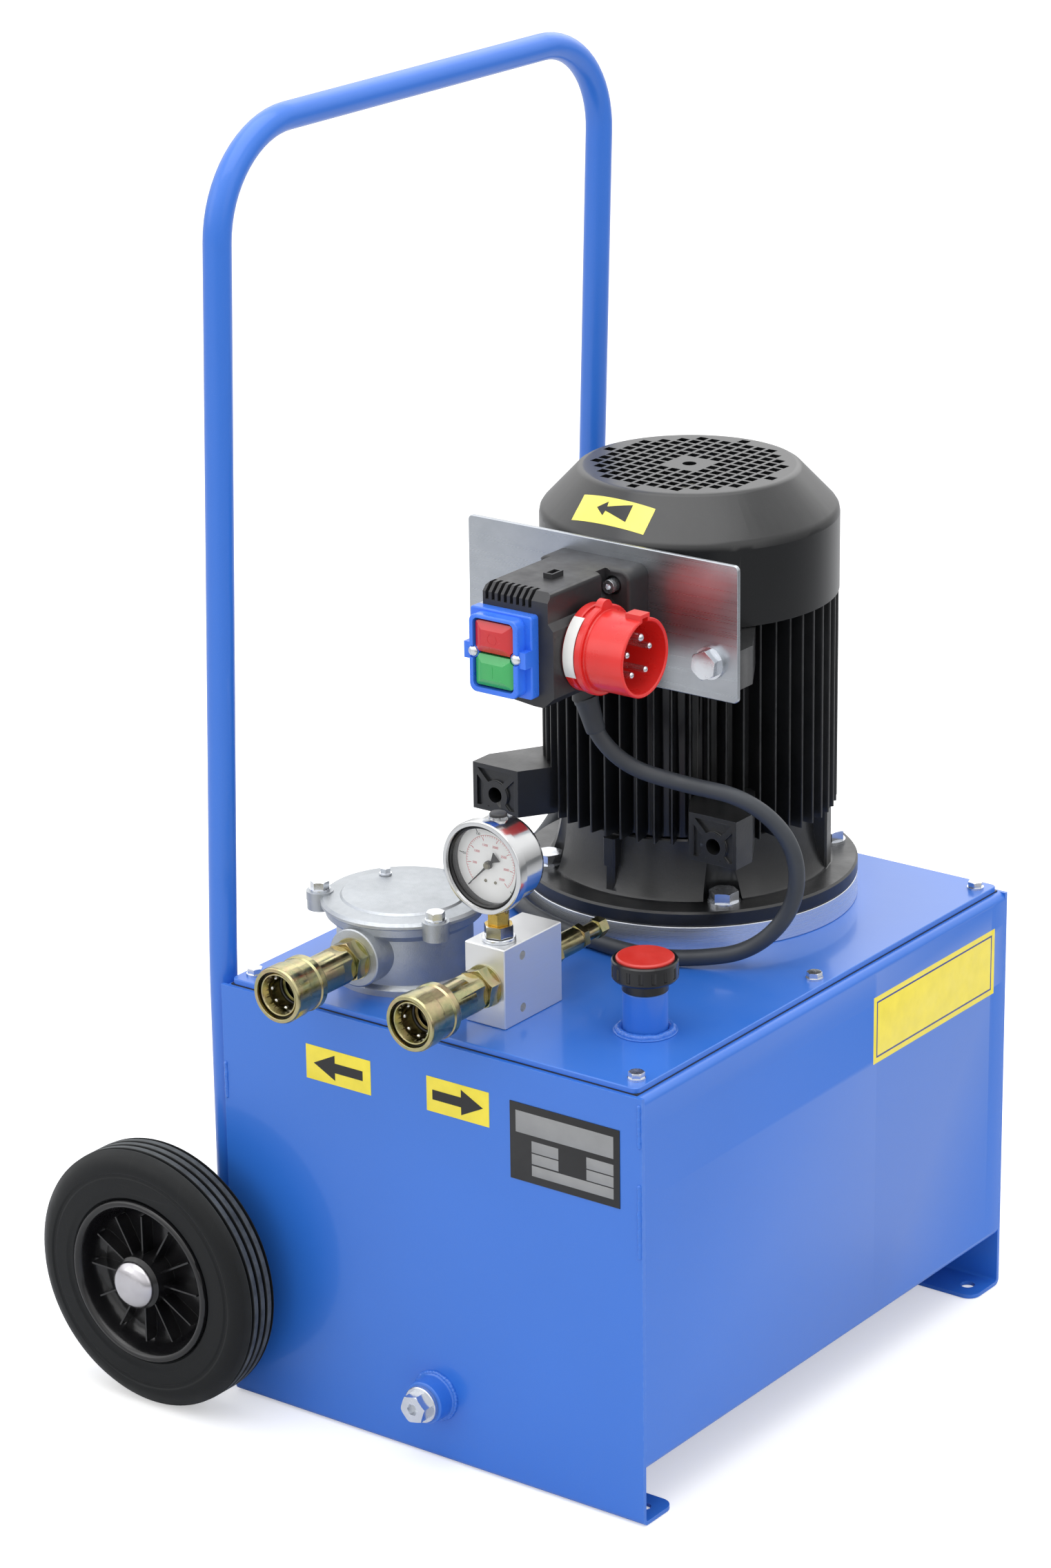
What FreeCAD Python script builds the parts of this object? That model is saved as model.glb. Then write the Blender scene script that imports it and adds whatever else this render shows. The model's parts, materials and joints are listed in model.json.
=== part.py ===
import FreeCAD, Part

import math
import os

import Sketcher
from FreeCAD import Placement, Rotation, Vector

# Electric hydraulic power unit on a wheeled steel tank.
# Frame: origin on the floor at the centre of the four foot holes, +Z up,
# +X towards the plain end, -X towards the wheels and handle, -Y towards the ports.
# All lengths are millimetres.

DIMENSIONS = {
    # tank
    "tank_length": 368, "tank_width": 476, "tank_top": 323, "tank_bottom": 42,
    "wall": 3, "bend": 6, "lip": 34, "foot_depth": 38, "foot_hole_x": 168.8, "foot_hole_y": 217.2,
    "foot_hole_radius": 5.5, "gasket": 1, "lid_thickness": 4, "lid_length": 355, "lid_width": 469,
    "lid_bolt_x": 167, "lid_bolt_y": 220, "drain_x": 3.5, "drain_z": 50,
    # filler
    "filler_x": 122.5, "filler_y": -146, "neck_radius": 16, "neck_top": 359, "cap_radius": 23.5,
    "cap_top": 382,
    # handle and wheels
    "tube_radius": 10, "leg_x": -194.3, "leg_y": 223, "handle_top": 937, "handle_bend": 75,
    "handle_foot": 58, "handle_knee": 330, "wheel_x": -222.7, "wheel_z": 100, "wheel_y": 276,
    "tyre_radius": 99.7, "tyre_width": 42, "rim_radius": 63, "dish_radius": 54, "axle_radius": 10,
    # return filter
    "filter_x": -83, "filter_y": -152, "filter_radius": 49, "filter_cover_z": 381,
    "filter_cover_radius": 60, "port_z": 358, "return_port_x": -81,
    # manifold and gauge
    "block_left": 8.6, "block_right": 43, "block_front": -202, "block_back": -134.5,
    "block_top": 387.5, "pressure_port_x": 26, "gauge_x": 27, "gauge_y": -186.5, "gauge_z": 446,
    "bezel_radius": 34,
    # couplings
    "coupler_radius": 14.2,
    # motor
    "motor_x": -8, "motor_y": 98.4, "flange_radius": 125, "ring_top": 345.7, "flange_top": 357,
    "bolt_circle": 107.5, "lug_radius": 106, "shield_top": 402, "fin_radius": 109,
    "fin_root": 94, "frame_top": 574, "cowl_bottom": 566, "cowl_shoulder": 629, "cowl_top": 658,
    "grille_radius": 80, "grille_pitch": 10.1, "grille_hole": 7.6, "foot_plane": 112,
    "foot_bolt_x": 97, "lower_foot_z": 416, "upper_foot_z": 555, "shaft_radius": 15,
    # starter and inlet
    "plate_left": -123, "plate_right": 112, "plate_bottom": 528, "plate_top": 629,
    "starter_front": -116, "starter_bottom": 530, "starter_top": 618, "cheek_x": 25,
    "key_x": -14.3, "key_width": 32.4, "key_screw_z": 572.5,
    "inlet_y": -75, "inlet_z": 571.3, "shroud_radius": 28.7, "pin_circle": 14.3,
    # pump
    "gear_module": 3, "gear_width": 18, "cable_radius": 6,
}

GEAR_TEETH = 12
FIN_COUNT = 52
FAN_BLADES = 7
BOLT_ANGLE = 47.7

doc = FreeCAD.newDocument("hydraulic_power_unit")
sheet = doc.addObject("Spreadsheet::Sheet", "dims")


class Dim:
    """A length that carries its value and the sheet expression that gives it."""

    def __init__(self, text, value):
        self.text = text
        self.value = value

    def combine(self, other, sign, result, swapped=False):
        other_text = other.text if isinstance(other, Dim) else repr(float(other))
        first, second = (other_text, self.text) if swapped else (self.text, other_text)
        return Dim("(%s %s %s)" % (first, sign, second), result)

    def __float__(self):
        return float(self.value)

    def __neg__(self):
        return Dim("(0 - %s)" % self.text, -self.value)

    def __add__(self, other):
        return self.combine(other, "+", self.value + float(other))

    def __radd__(self, other):
        return self.combine(other, "+", float(other) + self.value, True)

    def __sub__(self, other):
        return self.combine(other, "-", self.value - float(other))

    def __rsub__(self, other):
        return self.combine(other, "-", float(other) - self.value, True)

    def __mul__(self, other):
        return self.combine(other, "*", self.value * float(other))

    def __rmul__(self, other):
        return self.combine(other, "*", float(other) * self.value, True)

    def __truediv__(self, other):
        return self.combine(other, "/", self.value / float(other))


class Dimensions:
    """The sheet's cells as Dim attributes."""


d = Dimensions()
for row, (alias, length) in enumerate(DIMENSIONS.items(), start=1):
    sheet.set("A%d" % row, alias)
    sheet.set("B%d" % row, str(length))
    sheet.setAlias("B%d" % row, alias)
    setattr(d, alias, Dim("dims." + alias, length))
doc.recompute()

# ---------------------------------------------------------------- helpers

X, Y, Z = Vector(1, 0, 0), Vector(0, 1, 0), Vector(0, 0, 1)
# For each direction of local +Z, the row directions of local X, Y and Z.
FRAMES = {
    "+Z": (X, Y, Z), "-Z": (X, -Y, -Z), "+X": (Y, Z, X),
    "-X": (-Y, Z, -X), "+Y": (-X, Z, Y), "-Y": (X, Z, -Y),
}
nodes = {}


def bind(item, prop, size):
    """Set a property to a plain number, or bind it to the sheet."""
    setattr(item, prop, float(size))
    if isinstance(size, Dim):
        item.setExpression(prop, size.text)


def place(item, origin, direction="+Z", turn=0):
    """Put an item's origin at a point, its local +Z along a row direction, turned about it."""
    rotation = Rotation(*FRAMES[direction], "ZXY").multiply(Rotation(Z, turn))
    item.Placement = Placement(Vector(*[float(value) for value in origin]), rotation)
    for axis, value in zip("xyz", origin):
        if isinstance(value, Dim):
            item.setExpression("Placement.Base." + axis, value.text)
    return item


def node(name, item):
    """Register an object as a finished sub-part under its node name."""
    item.Label = name
    nodes[name] = item
    return item


def box(size, corner, direction="+Z", turn=0):
    item = doc.addObject("Part::Box", "block")
    for prop, value in zip(("Length", "Width", "Height"), size):
        bind(item, prop, value)
    return place(item, corner, direction, turn)


def cylinder(radius, length, origin, direction="+Z"):
    item = doc.addObject("Part::Cylinder", "round")
    bind(item, "Radius", radius)
    bind(item, "Height", length)
    return place(item, origin, direction)


def cone(first_radius, second_radius, length, origin, direction="+Z"):
    item = doc.addObject("Part::Cone", "taper")
    bind(item, "Radius1", first_radius)
    bind(item, "Radius2", second_radius)
    bind(item, "Height", length)
    return place(item, origin, direction)


def hexagon(across_flats, length, origin, direction="+Z", turn=0):
    """A hexagon with its corners chamfered on the outer end."""
    item = doc.addObject("Part::Prism", "hexagon")
    item.Polygon = 6
    bind(item, "Circumradius", across_flats / math.sqrt(3))
    bind(item, "Height", length)
    place(item, origin, direction, turn)
    corner = float(across_flats) / math.sqrt(3)
    crown = cone(corner + float(length) * 1.6, corner * 0.9, length, origin, direction)
    return common(item, crown)


def ellipsoid(along, across, origin, direction="+Z"):
    """A full ellipsoid with one radius along its local Z and one across it."""
    item = doc.addObject("Part::Ellipsoid", "dome")
    bind(item, "Radius1", along)
    bind(item, "Radius2", across)
    bind(item, "Radius3", across)
    return place(item, origin, direction)


def joined(*pieces):
    if len(pieces) == 1:
        return pieces[0]
    item = doc.addObject("Part::MultiFuse", "joined")
    item.Shapes = list(pieces)
    return item


def common(*pieces):
    item = doc.addObject("Part::MultiCommon", "common")
    item.Shapes = list(pieces)
    return item


def together(*pieces):
    """Separate solids kept in one object."""
    item = doc.addObject("Part::Compound", "group")
    item.Links = list(pieces)
    return item


def cut(base, *tools):
    item = doc.addObject("Part::Cut", "cut")
    item.Base = base
    item.Tool = joined(*tools)
    return item


def plain(shape):
    """A Part::Feature for a shape that no primitive or sketch describes."""
    item = doc.addObject("Part::Feature", "shape")
    item.Shape = shape
    return item


def new_body(role):
    """A body with one sketch on the origin plane of the given role."""
    body = doc.addObject("PartDesign::Body", "body")
    plane = next(item for item in body.Origin.OriginFeatures if item.Role == role)
    sketch = body.newObject("Sketcher::SketchObject", "outline")
    sketch.AttachmentSupport = [(plane, "")]
    sketch.MapMode = "FlatFace"
    return body, sketch


def draw_loop(sketch, points):
    """Draw a closed polygon and fix every corner with sizes from the sheet."""
    first = sketch.GeometryCount
    count = len(points)
    corners = [Vector(float(x), float(y), 0) for x, y in points]
    lines = [Part.LineSegment(corners[i], corners[(i + 1) % count]) for i in range(count)]
    sketch.addGeometry(lines, False)
    constraints = []
    bound = []
    for i in range(count):
        line = first + i
        constraints.append(Sketcher.Constraint("Coincident", line, 2, first + (i + 1) % count, 1))
        for kind, axis, value in (("DistanceX", -2, points[i][0]), ("DistanceY", -1, points[i][1])):
            if abs(float(value)) < 1e-9:
                constraints.append(Sketcher.Constraint("PointOnObject", line, 1, axis))
                continue
            if isinstance(value, Dim):
                bound.append((len(constraints), value.text))
            constraints.append(Sketcher.Constraint(kind, -1, 1, line, 1, float(value)))
    start = sketch.ConstraintCount
    sketch.addConstraint(constraints)
    for index, text in bound:
        sketch.setExpression("Constraints[%d]" % (start + index), text)


def draw_circle(sketch, centre, radius):
    index = sketch.GeometryCount
    middle = Vector(float(centre[0]), float(centre[1]), 0)
    sketch.addGeometry(Part.Circle(middle, Z, float(radius)), False)
    values = [("Radius", radius)]
    constraints = [Sketcher.Constraint("Radius", index, float(radius))]
    for kind, axis, value in (("DistanceX", -2, centre[0]), ("DistanceY", -1, centre[1])):
        values.append((kind, value))
        if abs(float(value)) < 1e-9:
            constraints.append(Sketcher.Constraint("PointOnObject", index, 3, axis))
        else:
            constraints.append(Sketcher.Constraint(kind, -1, 1, index, 3, float(value)))
    start = sketch.ConstraintCount
    sketch.addConstraint(constraints)
    for offset, (kind, value) in enumerate(values):
        if isinstance(value, Dim) and abs(float(value)) > 1e-9:
            sketch.setExpression("Constraints[%d]" % (start + offset), value.text)


def turned(profile, origin=(0, 0, 0), direction="+Z"):
    """A body of revolution: profile points are (radius, height along the axis)."""
    body, sketch = new_body("XZ_Plane")
    draw_loop(sketch, profile)
    turn = body.newObject("PartDesign::Revolution", "revolution")
    turn.Profile = sketch
    turn.ReferenceAxis = (sketch, ["V_Axis"])
    turn.Angle = 360
    return place(body, origin, direction)


def extruded(outline, length, origin=(0, 0, 0), direction="+Z", turn=0, holes=()):
    """A body padded along its local +Z: holes are (x, y, radius)."""
    body, sketch = new_body("XY_Plane")
    draw_loop(sketch, outline)
    for x, y, radius in holes:
        draw_circle(sketch, (x, y), radius)
    pad = body.newObject("PartDesign::Pad", "pad")
    pad.Profile = sketch
    bind(pad, "Length", length)
    return place(body, origin, direction, turn)


def dress(body, kind, size, chosen):
    """Round or chamfer the edges of a body that a test picks, in its local frame."""
    doc.recompute()
    tip = body.Tip
    names = ["Edge%d" % (i + 1) for i, edge in enumerate(tip.Shape.Edges) if chosen(edge)]
    feature = body.newObject("PartDesign::" + kind, kind.lower())
    feature.Base = (tip, names)
    bind(feature, "Radius" if kind == "Fillet" else "Size", size)
    body.Tip = feature
    return body


def upright(edge):
    """True for straight edges along the body's local Z."""
    span = edge.BoundBox
    return span.ZLength > 0.5 and span.XLength < 1e-6 and span.YLength < 1e-6


def upright_at(radius_test):
    """Upright edges whose place passes a test of (x, y)."""
    def chosen(edge):
        middle = edge.BoundBox.Center
        return upright(edge) and radius_test(middle.x, middle.y)
    return chosen


def flat_at(height):
    """Edges that lie wholly at one local height."""
    def chosen(edge):
        span = edge.BoundBox
        return span.ZLength < 1e-6 and abs(span.ZMin - float(height)) < 1e-4
    return chosen


def rectangle(x0, y0, x1, y1):
    return [(x0, y0), (x1, y0), (x1, y1), (x0, y1)]


def ring_points(radius, count, start_degrees, centre=(0, 0)):
    """Points spaced evenly round a circle."""
    points = []
    for i in range(count):
        angle = math.radians(start_degrees + 360 * i / count)
        points.append((centre[0] + radius * math.cos(angle), centre[1] + radius * math.sin(angle)))
    return points


def repeated(body, feature_base, count):
    """Repeat the body's last feature evenly about its local Z axis."""
    axis = next(item for item in body.Origin.OriginFeatures if item.Role == "Z_Axis")
    pattern = body.newObject("PartDesign::PolarPattern", "pattern")
    pattern.Originals = [feature_base]
    pattern.Axis = (axis, [""])
    pattern.Angle = 360
    pattern.Occurrences = count
    body.Tip = pattern
    return body


def ribbed(body, outline, length, count, height=0):
    """Pad an outline on a body at a height and repeat it round the axis."""
    plane = next(item for item in body.Origin.OriginFeatures if item.Role == "XY_Plane")
    sketch = body.newObject("Sketcher::SketchObject", "rib")
    sketch.AttachmentSupport = [(plane, "")]
    sketch.MapMode = "FlatFace"
    sketch.AttachmentOffset = Placement(Vector(0, 0, float(height)), Rotation())
    if isinstance(height, Dim):
        sketch.setExpression("AttachmentOffset.Base.z", height.text)
    draw_loop(sketch, outline)
    pad = body.newObject("PartDesign::Pad", "ribs")
    pad.Profile = sketch
    bind(pad, "Length", length)
    doc.recompute()
    return repeated(body, pad, count)


def hex_bolt(size, head, across_flats, reach, washer, origin, direction="+Z", turn=0):
    """A hexagon bolt with a plain washer: local +Z points out of the clamped face."""
    washer_radius, washer_thickness = washer
    frame = Rotation(*FRAMES[direction], "ZXY")
    out = frame.multVec(Z)

    def along(distance):
        return tuple(origin[i] + distance * out[i] if out[i] else origin[i] for i in range(3))

    return joined(
        cylinder(washer_radius, washer_thickness, origin, direction),
        hexagon(across_flats, head, along(washer_thickness), direction, turn),
        cylinder(size / 2 - 0.05, reach + washer_thickness + 1, along(-reach), direction),
    )


# ---------------------------------------------------------------- tank


def tank():
    half_length, half_width = d.tank_length / 2, d.tank_width / 2
    inner = half_length - d.wall
    lip_end = half_length - d.lip
    section = [
        (-lip_end, d.tank_top), (-half_length, d.tank_top), (-half_length, d.tank_bottom),
        (half_length, d.tank_bottom), (half_length, d.tank_top), (lip_end, d.tank_top),
        (lip_end, d.tank_top - d.wall), (inner, d.tank_top - d.wall),
        (inner, d.tank_bottom + d.wall), (-inner, d.tank_bottom + d.wall),
        (-inner, d.tank_top - d.wall), (-lip_end, d.tank_top - d.wall),
    ]
    wrap = extruded(section, d.tank_width - 2 * d.wall, (0, half_width - d.wall, 0), "-Y")
    outer_edges = upright_at(lambda x, y: abs(abs(x) - float(half_length)) < 0.01)
    dress(wrap, "Fillet", d.bend, outer_edges)
    inner_edges = upright_at(lambda x, y: abs(abs(x) - float(inner)) < 0.01)
    dress(wrap, "Fillet", d.bend - d.wall, inner_edges)
    lip_holes = []
    for x in (-d.lid_bolt_x, d.lid_bolt_x):
        for y in (-d.lid_bolt_y, 0, d.lid_bolt_y):
            lip_holes.append(cylinder(3.05, 8, (x, y, d.tank_top - 5)))
    node("tank_wrap", cut(wrap, *lip_holes))
    node("tank_front_panel", cut(end_panel(False), drain_hole()))
    node("tank_back_panel", end_panel(True))


def end_panel(turned_round):
    """A folded end panel: foot flange below, upright sheet, lid lip above."""
    half_length, half_width = d.tank_length / 2, d.tank_width / 2
    section = [
        (0, 0), (d.foot_depth, 0), (d.foot_depth, d.wall), (d.wall, d.wall),
        (d.wall, d.tank_top), (0, d.tank_top),
    ]
    sheet_body = extruded(section, d.tank_length, (-half_length, -half_width, 0), "+X")
    dress(sheet_body, "Fillet", 5, upright_at(lambda x, y: math.hypot(x, y) < 0.01))
    dress(sheet_body, "Fillet", 2, upright_at(lambda x, y: abs(x - 3) + abs(y - 3) < 0.01))

    def flange_corner(edge):
        span = edge.BoundBox
        return abs(span.XMin - float(d.foot_depth)) < 1e-6 and abs(span.YLength - 3) < 1e-6

    dress(sheet_body, "Fillet", 10, flange_corner)
    lip_end = half_length - d.lip - 0.1
    lip = box((2 * lip_end, d.lip - d.wall, d.wall),
              (-lip_end, -half_width + d.wall - 0.5, d.tank_top - d.wall))
    holes = [cylinder(3.05, 8, (0, -d.lid_bolt_y, d.tank_top - 5))]
    for x in (-d.foot_hole_x, d.foot_hole_x):
        holes.append(cylinder(d.foot_hole_radius, 8, (x, -d.foot_hole_y, -2)))
    panel = cut(joined(sheet_body, lip), *holes)
    if turned_round:
        turned_panel = together(panel)
        turned_panel.Placement = Placement(Vector(), Rotation(Z, 180))
        return turned_panel
    return panel


def drain_hole():
    return cylinder(14.05, 8, (d.drain_x, -d.tank_width / 2 + 5, d.drain_z), "-Y")


def drain():
    face = -d.tank_width / 2
    boss = turned([
        (10.05, -2.9), (14, -2.9), (14, 0), (19, 0), (18.2, 1.6), (16.3, 3), (16, 15),
        (15.3, 15.8), (10.05, 15.8),
    ], (d.drain_x, face, d.drain_z), "-Y")
    node("drain_boss", boss)
    plug = turned([
        (0, 0), (9.95, 0), (9.95, 15.9), (13.6, 15.9), (13.6, 19), (13, 19.6), (0, 19.6),
    ], (d.drain_x, face, d.drain_z), "-Y")
    head = hexagon(19, 9, (d.drain_x, face - 19.5, d.drain_z), "-Y", 12)
    recess = hexagon(8, 6, (d.drain_x, face - 23, d.drain_z), "-Y")
    node("drain_plug", cut(joined(plug, head), recess))


def lid():
    bolt_places = lid_bolt_places()
    half_length, half_width = d.lid_length / 2, d.lid_width / 2
    lid_bottom = d.tank_top + d.gasket
    bolt_holes = [(x, y, 3.3) for x, y in bolt_places]
    motor_holes = [(d.motor_x + x, d.motor_y + y, 6.6)
                   for x, y in ring_points(float(d.bolt_circle), 4, BOLT_ANGLE)]
    openings = [
        (d.motor_x, d.motor_y, 85), (d.filter_x, d.filter_y, 44), (d.filler_x, d.filler_y, 21.2),
        (d.pressure_port_x, -150, 9),
    ]
    outline = rectangle(-half_length, -half_width, half_length, half_width)
    cover = extruded(outline, d.lid_thickness, (0, 0, lid_bottom),
                     holes=bolt_holes + motor_holes + openings)
    dress(cover, "Fillet", 5, upright)

    def outer_rim(edge):
        span = edge.BoundBox
        reach = max(abs(span.Center.x) / float(half_length), abs(span.Center.y) / float(half_width))
        return flat_at(d.lid_thickness)(edge) and reach > 0.97

    dress(cover, "Chamfer", 0.6, outer_rim)
    node("tank_lid", cover)

    inner = rectangle(-(half_length - 27), -(half_width - 31), half_length - 27, half_width - 31)
    gasket = extruded(rectangle(-half_length, -half_width, half_length, half_width),
                      d.gasket, (0, 0, d.tank_top), holes=bolt_holes)
    window = extruded(inner, 4, (0, 0, d.tank_top - 1))
    node("lid_gasket", cut(gasket, window))

    bolts = []
    for i, (x, y) in enumerate(bolt_places):
        bolts.append(hex_bolt(6, 4, 10, 14, (6.3, 1.6), (x, y, lid_bottom + d.lid_thickness),
                              turn=17 * i))
    node("lid_bolts", together(*bolts))


def lid_bolt_places():
    corners = [(x, y) for x in (-d.lid_bolt_x, d.lid_bolt_x) for y in (-d.lid_bolt_y, d.lid_bolt_y)]
    return corners + [(-d.lid_bolt_x, 0), (d.lid_bolt_x, 0), (0, -d.lid_bolt_y)]


def filler():
    lid_bottom = d.tank_top + d.gasket
    lid_top = lid_bottom + d.lid_thickness
    tube = turned([
        (13, 300), (d.neck_radius, 300), (d.neck_radius, d.neck_top - 0.6),
        (d.neck_radius - 0.6, d.neck_top), (13, d.neck_top),
    ], (d.filler_x, d.filler_y, 0))
    # A separate ring carries the tube in the lid's hole; both are welded to it.
    ring = turned([
        (d.neck_radius + 0.1, lid_bottom), (21, lid_bottom), (21, lid_top), (22.6, lid_top),
        (22.6, lid_top + 1), (d.neck_radius + 2, lid_top + 2), (d.neck_radius + 0.1, lid_top + 2),
    ], (d.filler_x, d.filler_y, 0))
    node("filler_neck", together(tube, ring))

    skirt_top = d.neck_top + 8.5
    cap = turned([
        (9.5, 338), (12.6, 338), (12.6, d.neck_top + 0.3), (16.4, d.neck_top + 0.3),
        (16.4, skirt_top), (22.3, skirt_top), (d.cap_radius, skirt_top + 1.6),
        (d.cap_radius, d.cap_top - 1), (22.6, d.cap_top), (20.8, d.cap_top), (20.8, d.cap_top - 6),
        (4.05, d.cap_top - 6), (4.05, d.cap_top - 12), (9.5, d.cap_top - 12),
    ], (d.filler_x, d.filler_y, 0))
    grips = []
    for x, y in ring_points(24.9, 16, 5, (float(d.filler_x), float(d.filler_y))):
        grips.append(cylinder(2.2, 8, (x, y, skirt_top + 3)))
    node("filler_cap", cut(cap, *grips))

    insert = turned([
        (0, d.cap_top - 11), (3.98, d.cap_top - 11), (3.98, d.cap_top - 5.6),
        (20.5, d.cap_top - 5.6), (20.5, d.cap_top + 1), (19.3, d.cap_top + 2),
        (0, d.cap_top + 2.4),
    ], (d.filler_x, d.filler_y, 0))
    node("filler_cap_insert", insert)


# ---------------------------------------------------------------- handle and wheels


def handle_path():
    """Centre line of the handle: two legs that lean in above the knee, and a top bar."""
    lean = math.radians(2)
    knee, top, bend = float(d.handle_knee), float(d.handle_top), float(d.handle_bend)
    leg_x, leg_y = float(d.leg_x), float(d.leg_y)

    def at(y, z):
        return Vector(leg_x + max(z - knee, 0) * math.tan(lean), y, z)

    shoulder = at(-leg_y, top - bend)
    slope = (at(0, top) - at(0, knee)).normalize()
    corner = Vector(shoulder) + slope * bend
    along = Vector(0, bend, 0)
    middle = shoulder + slope * bend * math.sin(math.pi / 4) + along * (1 - math.cos(math.pi / 4))
    bar_start = corner + along
    mirror = [Vector(point.x, -point.y, point.z) for point in (bar_start, middle, shoulder)]
    foot = Vector(leg_x, -leg_y, float(d.handle_foot))
    knee_low = Vector(leg_x, -leg_y, knee - 40)
    knee_high = at(-leg_y, knee + 40)
    # A gentle arc joins the upright foot and the leaning leg.
    knee_middle = (knee_low + knee_high) * 0.25 + at(-leg_y, knee) * 0.5
    edges = [
        Part.LineSegment(foot, knee_low).toShape(),
        Part.Arc(knee_low, knee_middle, knee_high).toShape(),
        Part.LineSegment(knee_high, shoulder).toShape(),
        Part.Arc(shoulder, middle, bar_start).toShape(),
        Part.LineSegment(bar_start, mirror[0]).toShape(),
        Part.Arc(mirror[0], mirror[1], mirror[2]).toShape(),
    ]
    other = [Vector(point.x, -point.y, point.z) for point in (knee_high, knee_middle, knee_low, foot)]
    edges.append(Part.LineSegment(mirror[2], other[0]).toShape())
    edges.append(Part.Arc(other[0], other[1], other[2]).toShape())
    edges.append(Part.LineSegment(other[2], other[3]).toShape())
    return Part.Wire(edges)


def swept_tube(path, outer, inner=0):
    """A round tube along a wire of lines and tangent arcs."""
    first = path.OrderedEdges[0]
    start = first.valueAt(first.FirstParameter)
    heading = first.tangentAt(first.FirstParameter)
    tubes = []
    for radius in (outer, inner):
        if radius:
            loop = Part.Wire(Part.Circle(start, heading, radius).toShape())
            tubes.append(path.makePipeShell([loop], True, True))
    return tubes[0].cut(tubes[1]) if inner else tubes[0]


def handle():
    radius = float(d.tube_radius)
    node("handle_tube", plain(swept_tube(handle_path(), radius, radius - 2)))
    brackets = []
    for side in (-1, 1):
        outline = [
            (-d.tank_length / 2 - 1, 62), (-d.tank_length / 2 - 1, 138), (d.wheel_x + 6, 121),
            (d.wheel_x - 14, 112), (d.wheel_x - 17, 100), (d.wheel_x - 14, 88), (d.wheel_x + 6, 79),
        ]
        plate = extruded(outline, 5, (0, side * 205 + 2.5, 0), "-Y",
                         holes=[(d.wheel_x, d.wheel_z, d.axle_radius + 0.05)])
        dress(plate, "Fillet", 5, upright_at(lambda x, y: x < -200))
        foot = box((1, 26, 88), (-d.tank_length / 2 - 1, side * 205 - 13, 56))
        brackets.append(joined(plate, foot))
    node("axle_brackets", together(*brackets))
    collar = 250.4
    axle = turned([
        (0, -304), (d.axle_radius - 1, -304), (d.axle_radius, -303), (d.axle_radius, -collar),
        (14, -collar), (14, 4 - collar), (d.axle_radius, 4 - collar), (d.axle_radius, collar - 4),
        (14, collar - 4), (14, collar), (d.axle_radius, collar), (d.axle_radius, 303),
        (d.axle_radius - 1, 304), (0, 304),
    ], (d.wheel_x, 0, d.wheel_z), "+Y")
    node("axle", axle)
    caps = []
    for direction, y in (("-Y", -301.4), ("+Y", 301.4)):
        caps.append(turned([
            (10.02, 0), (18, 0), (18, 1.2), (17.2, 3.4), (14.6, 5.9), (10.5, 7.7), (5.5, 8.7),
            (0, 9), (0, 4), (10.02, 4),
        ], (d.wheel_x, y, d.wheel_z), direction))
    node("axle_caps", together(*caps))
    wheel("front", "-Y", -d.wheel_y)
    wheel("back", "+Y", d.wheel_y)


def wheel(name, outward, centre_y):
    """A rubber tyre on a plastic rim: local +Z points away from the tank."""
    half = d.tyre_width / 2
    outer = d.tyre_radius
    tread = []
    for groove in (-11, -3.7, 3.7, 11):
        tread += [(outer, groove - 1.3), (outer - 2.6, groove - 0.7), (outer - 2.6, groove + 0.7),
                  (outer, groove + 1.3)]
    side = [
        (d.rim_radius + 0.1, half - 3), (d.rim_radius + 1.5, half - 1.2), (68, half - 1.2),
        (70, half), (80, half), (81, half - 0.8), (83, half - 0.8), (84, half), (88, half - 0.4),
        (92.5, half - 2.2), (96, half - 5), (98.4, half - 7.6),
    ]
    profile = [(radius, -height) for radius, height in side] + tread
    profile += [(radius, height) for radius, height in reversed(side)]
    tyre = turned(profile, (d.wheel_x, centre_y, d.wheel_z), outward)
    node(name + "_wheel_tyre", tyre)

    rim_half = half + 1.5
    rim = turned([
        (d.axle_radius + 0.05, -25), (17, -25), (20, -22), (20, -4), (d.dish_radius - 2, -4),
        (d.dish_radius, -6), (d.dish_radius, -rim_half), (61, -rim_half), (d.rim_radius, 2 - rim_half),
        (d.rim_radius, rim_half - 3), (62.4, rim_half - 1.2), (61.2, rim_half - 0.2),
        (59.8, rim_half), (58.4, rim_half - 0.5), (57.2, rim_half - 1.8), (56.2, rim_half - 4),
        (d.dish_radius + 1.2, rim_half - 7), (d.dish_radius, 11.5), (d.dish_radius - 2, 7.6),
        (d.dish_radius - 5, 5), (d.dish_radius - 9, 4), (20, 4), (20, 22), (17, 25),
        (d.axle_radius + 0.05, 25),
    ], (d.wheel_x, centre_y, d.wheel_z), outward)
    doc.recompute()
    ribbed(rim, rectangle(19, -0.7, 50, 0.7), 12, 12, 3.5)
    node(name + "_wheel_rim", rim)


# ---------------------------------------------------------------- return filter


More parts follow.
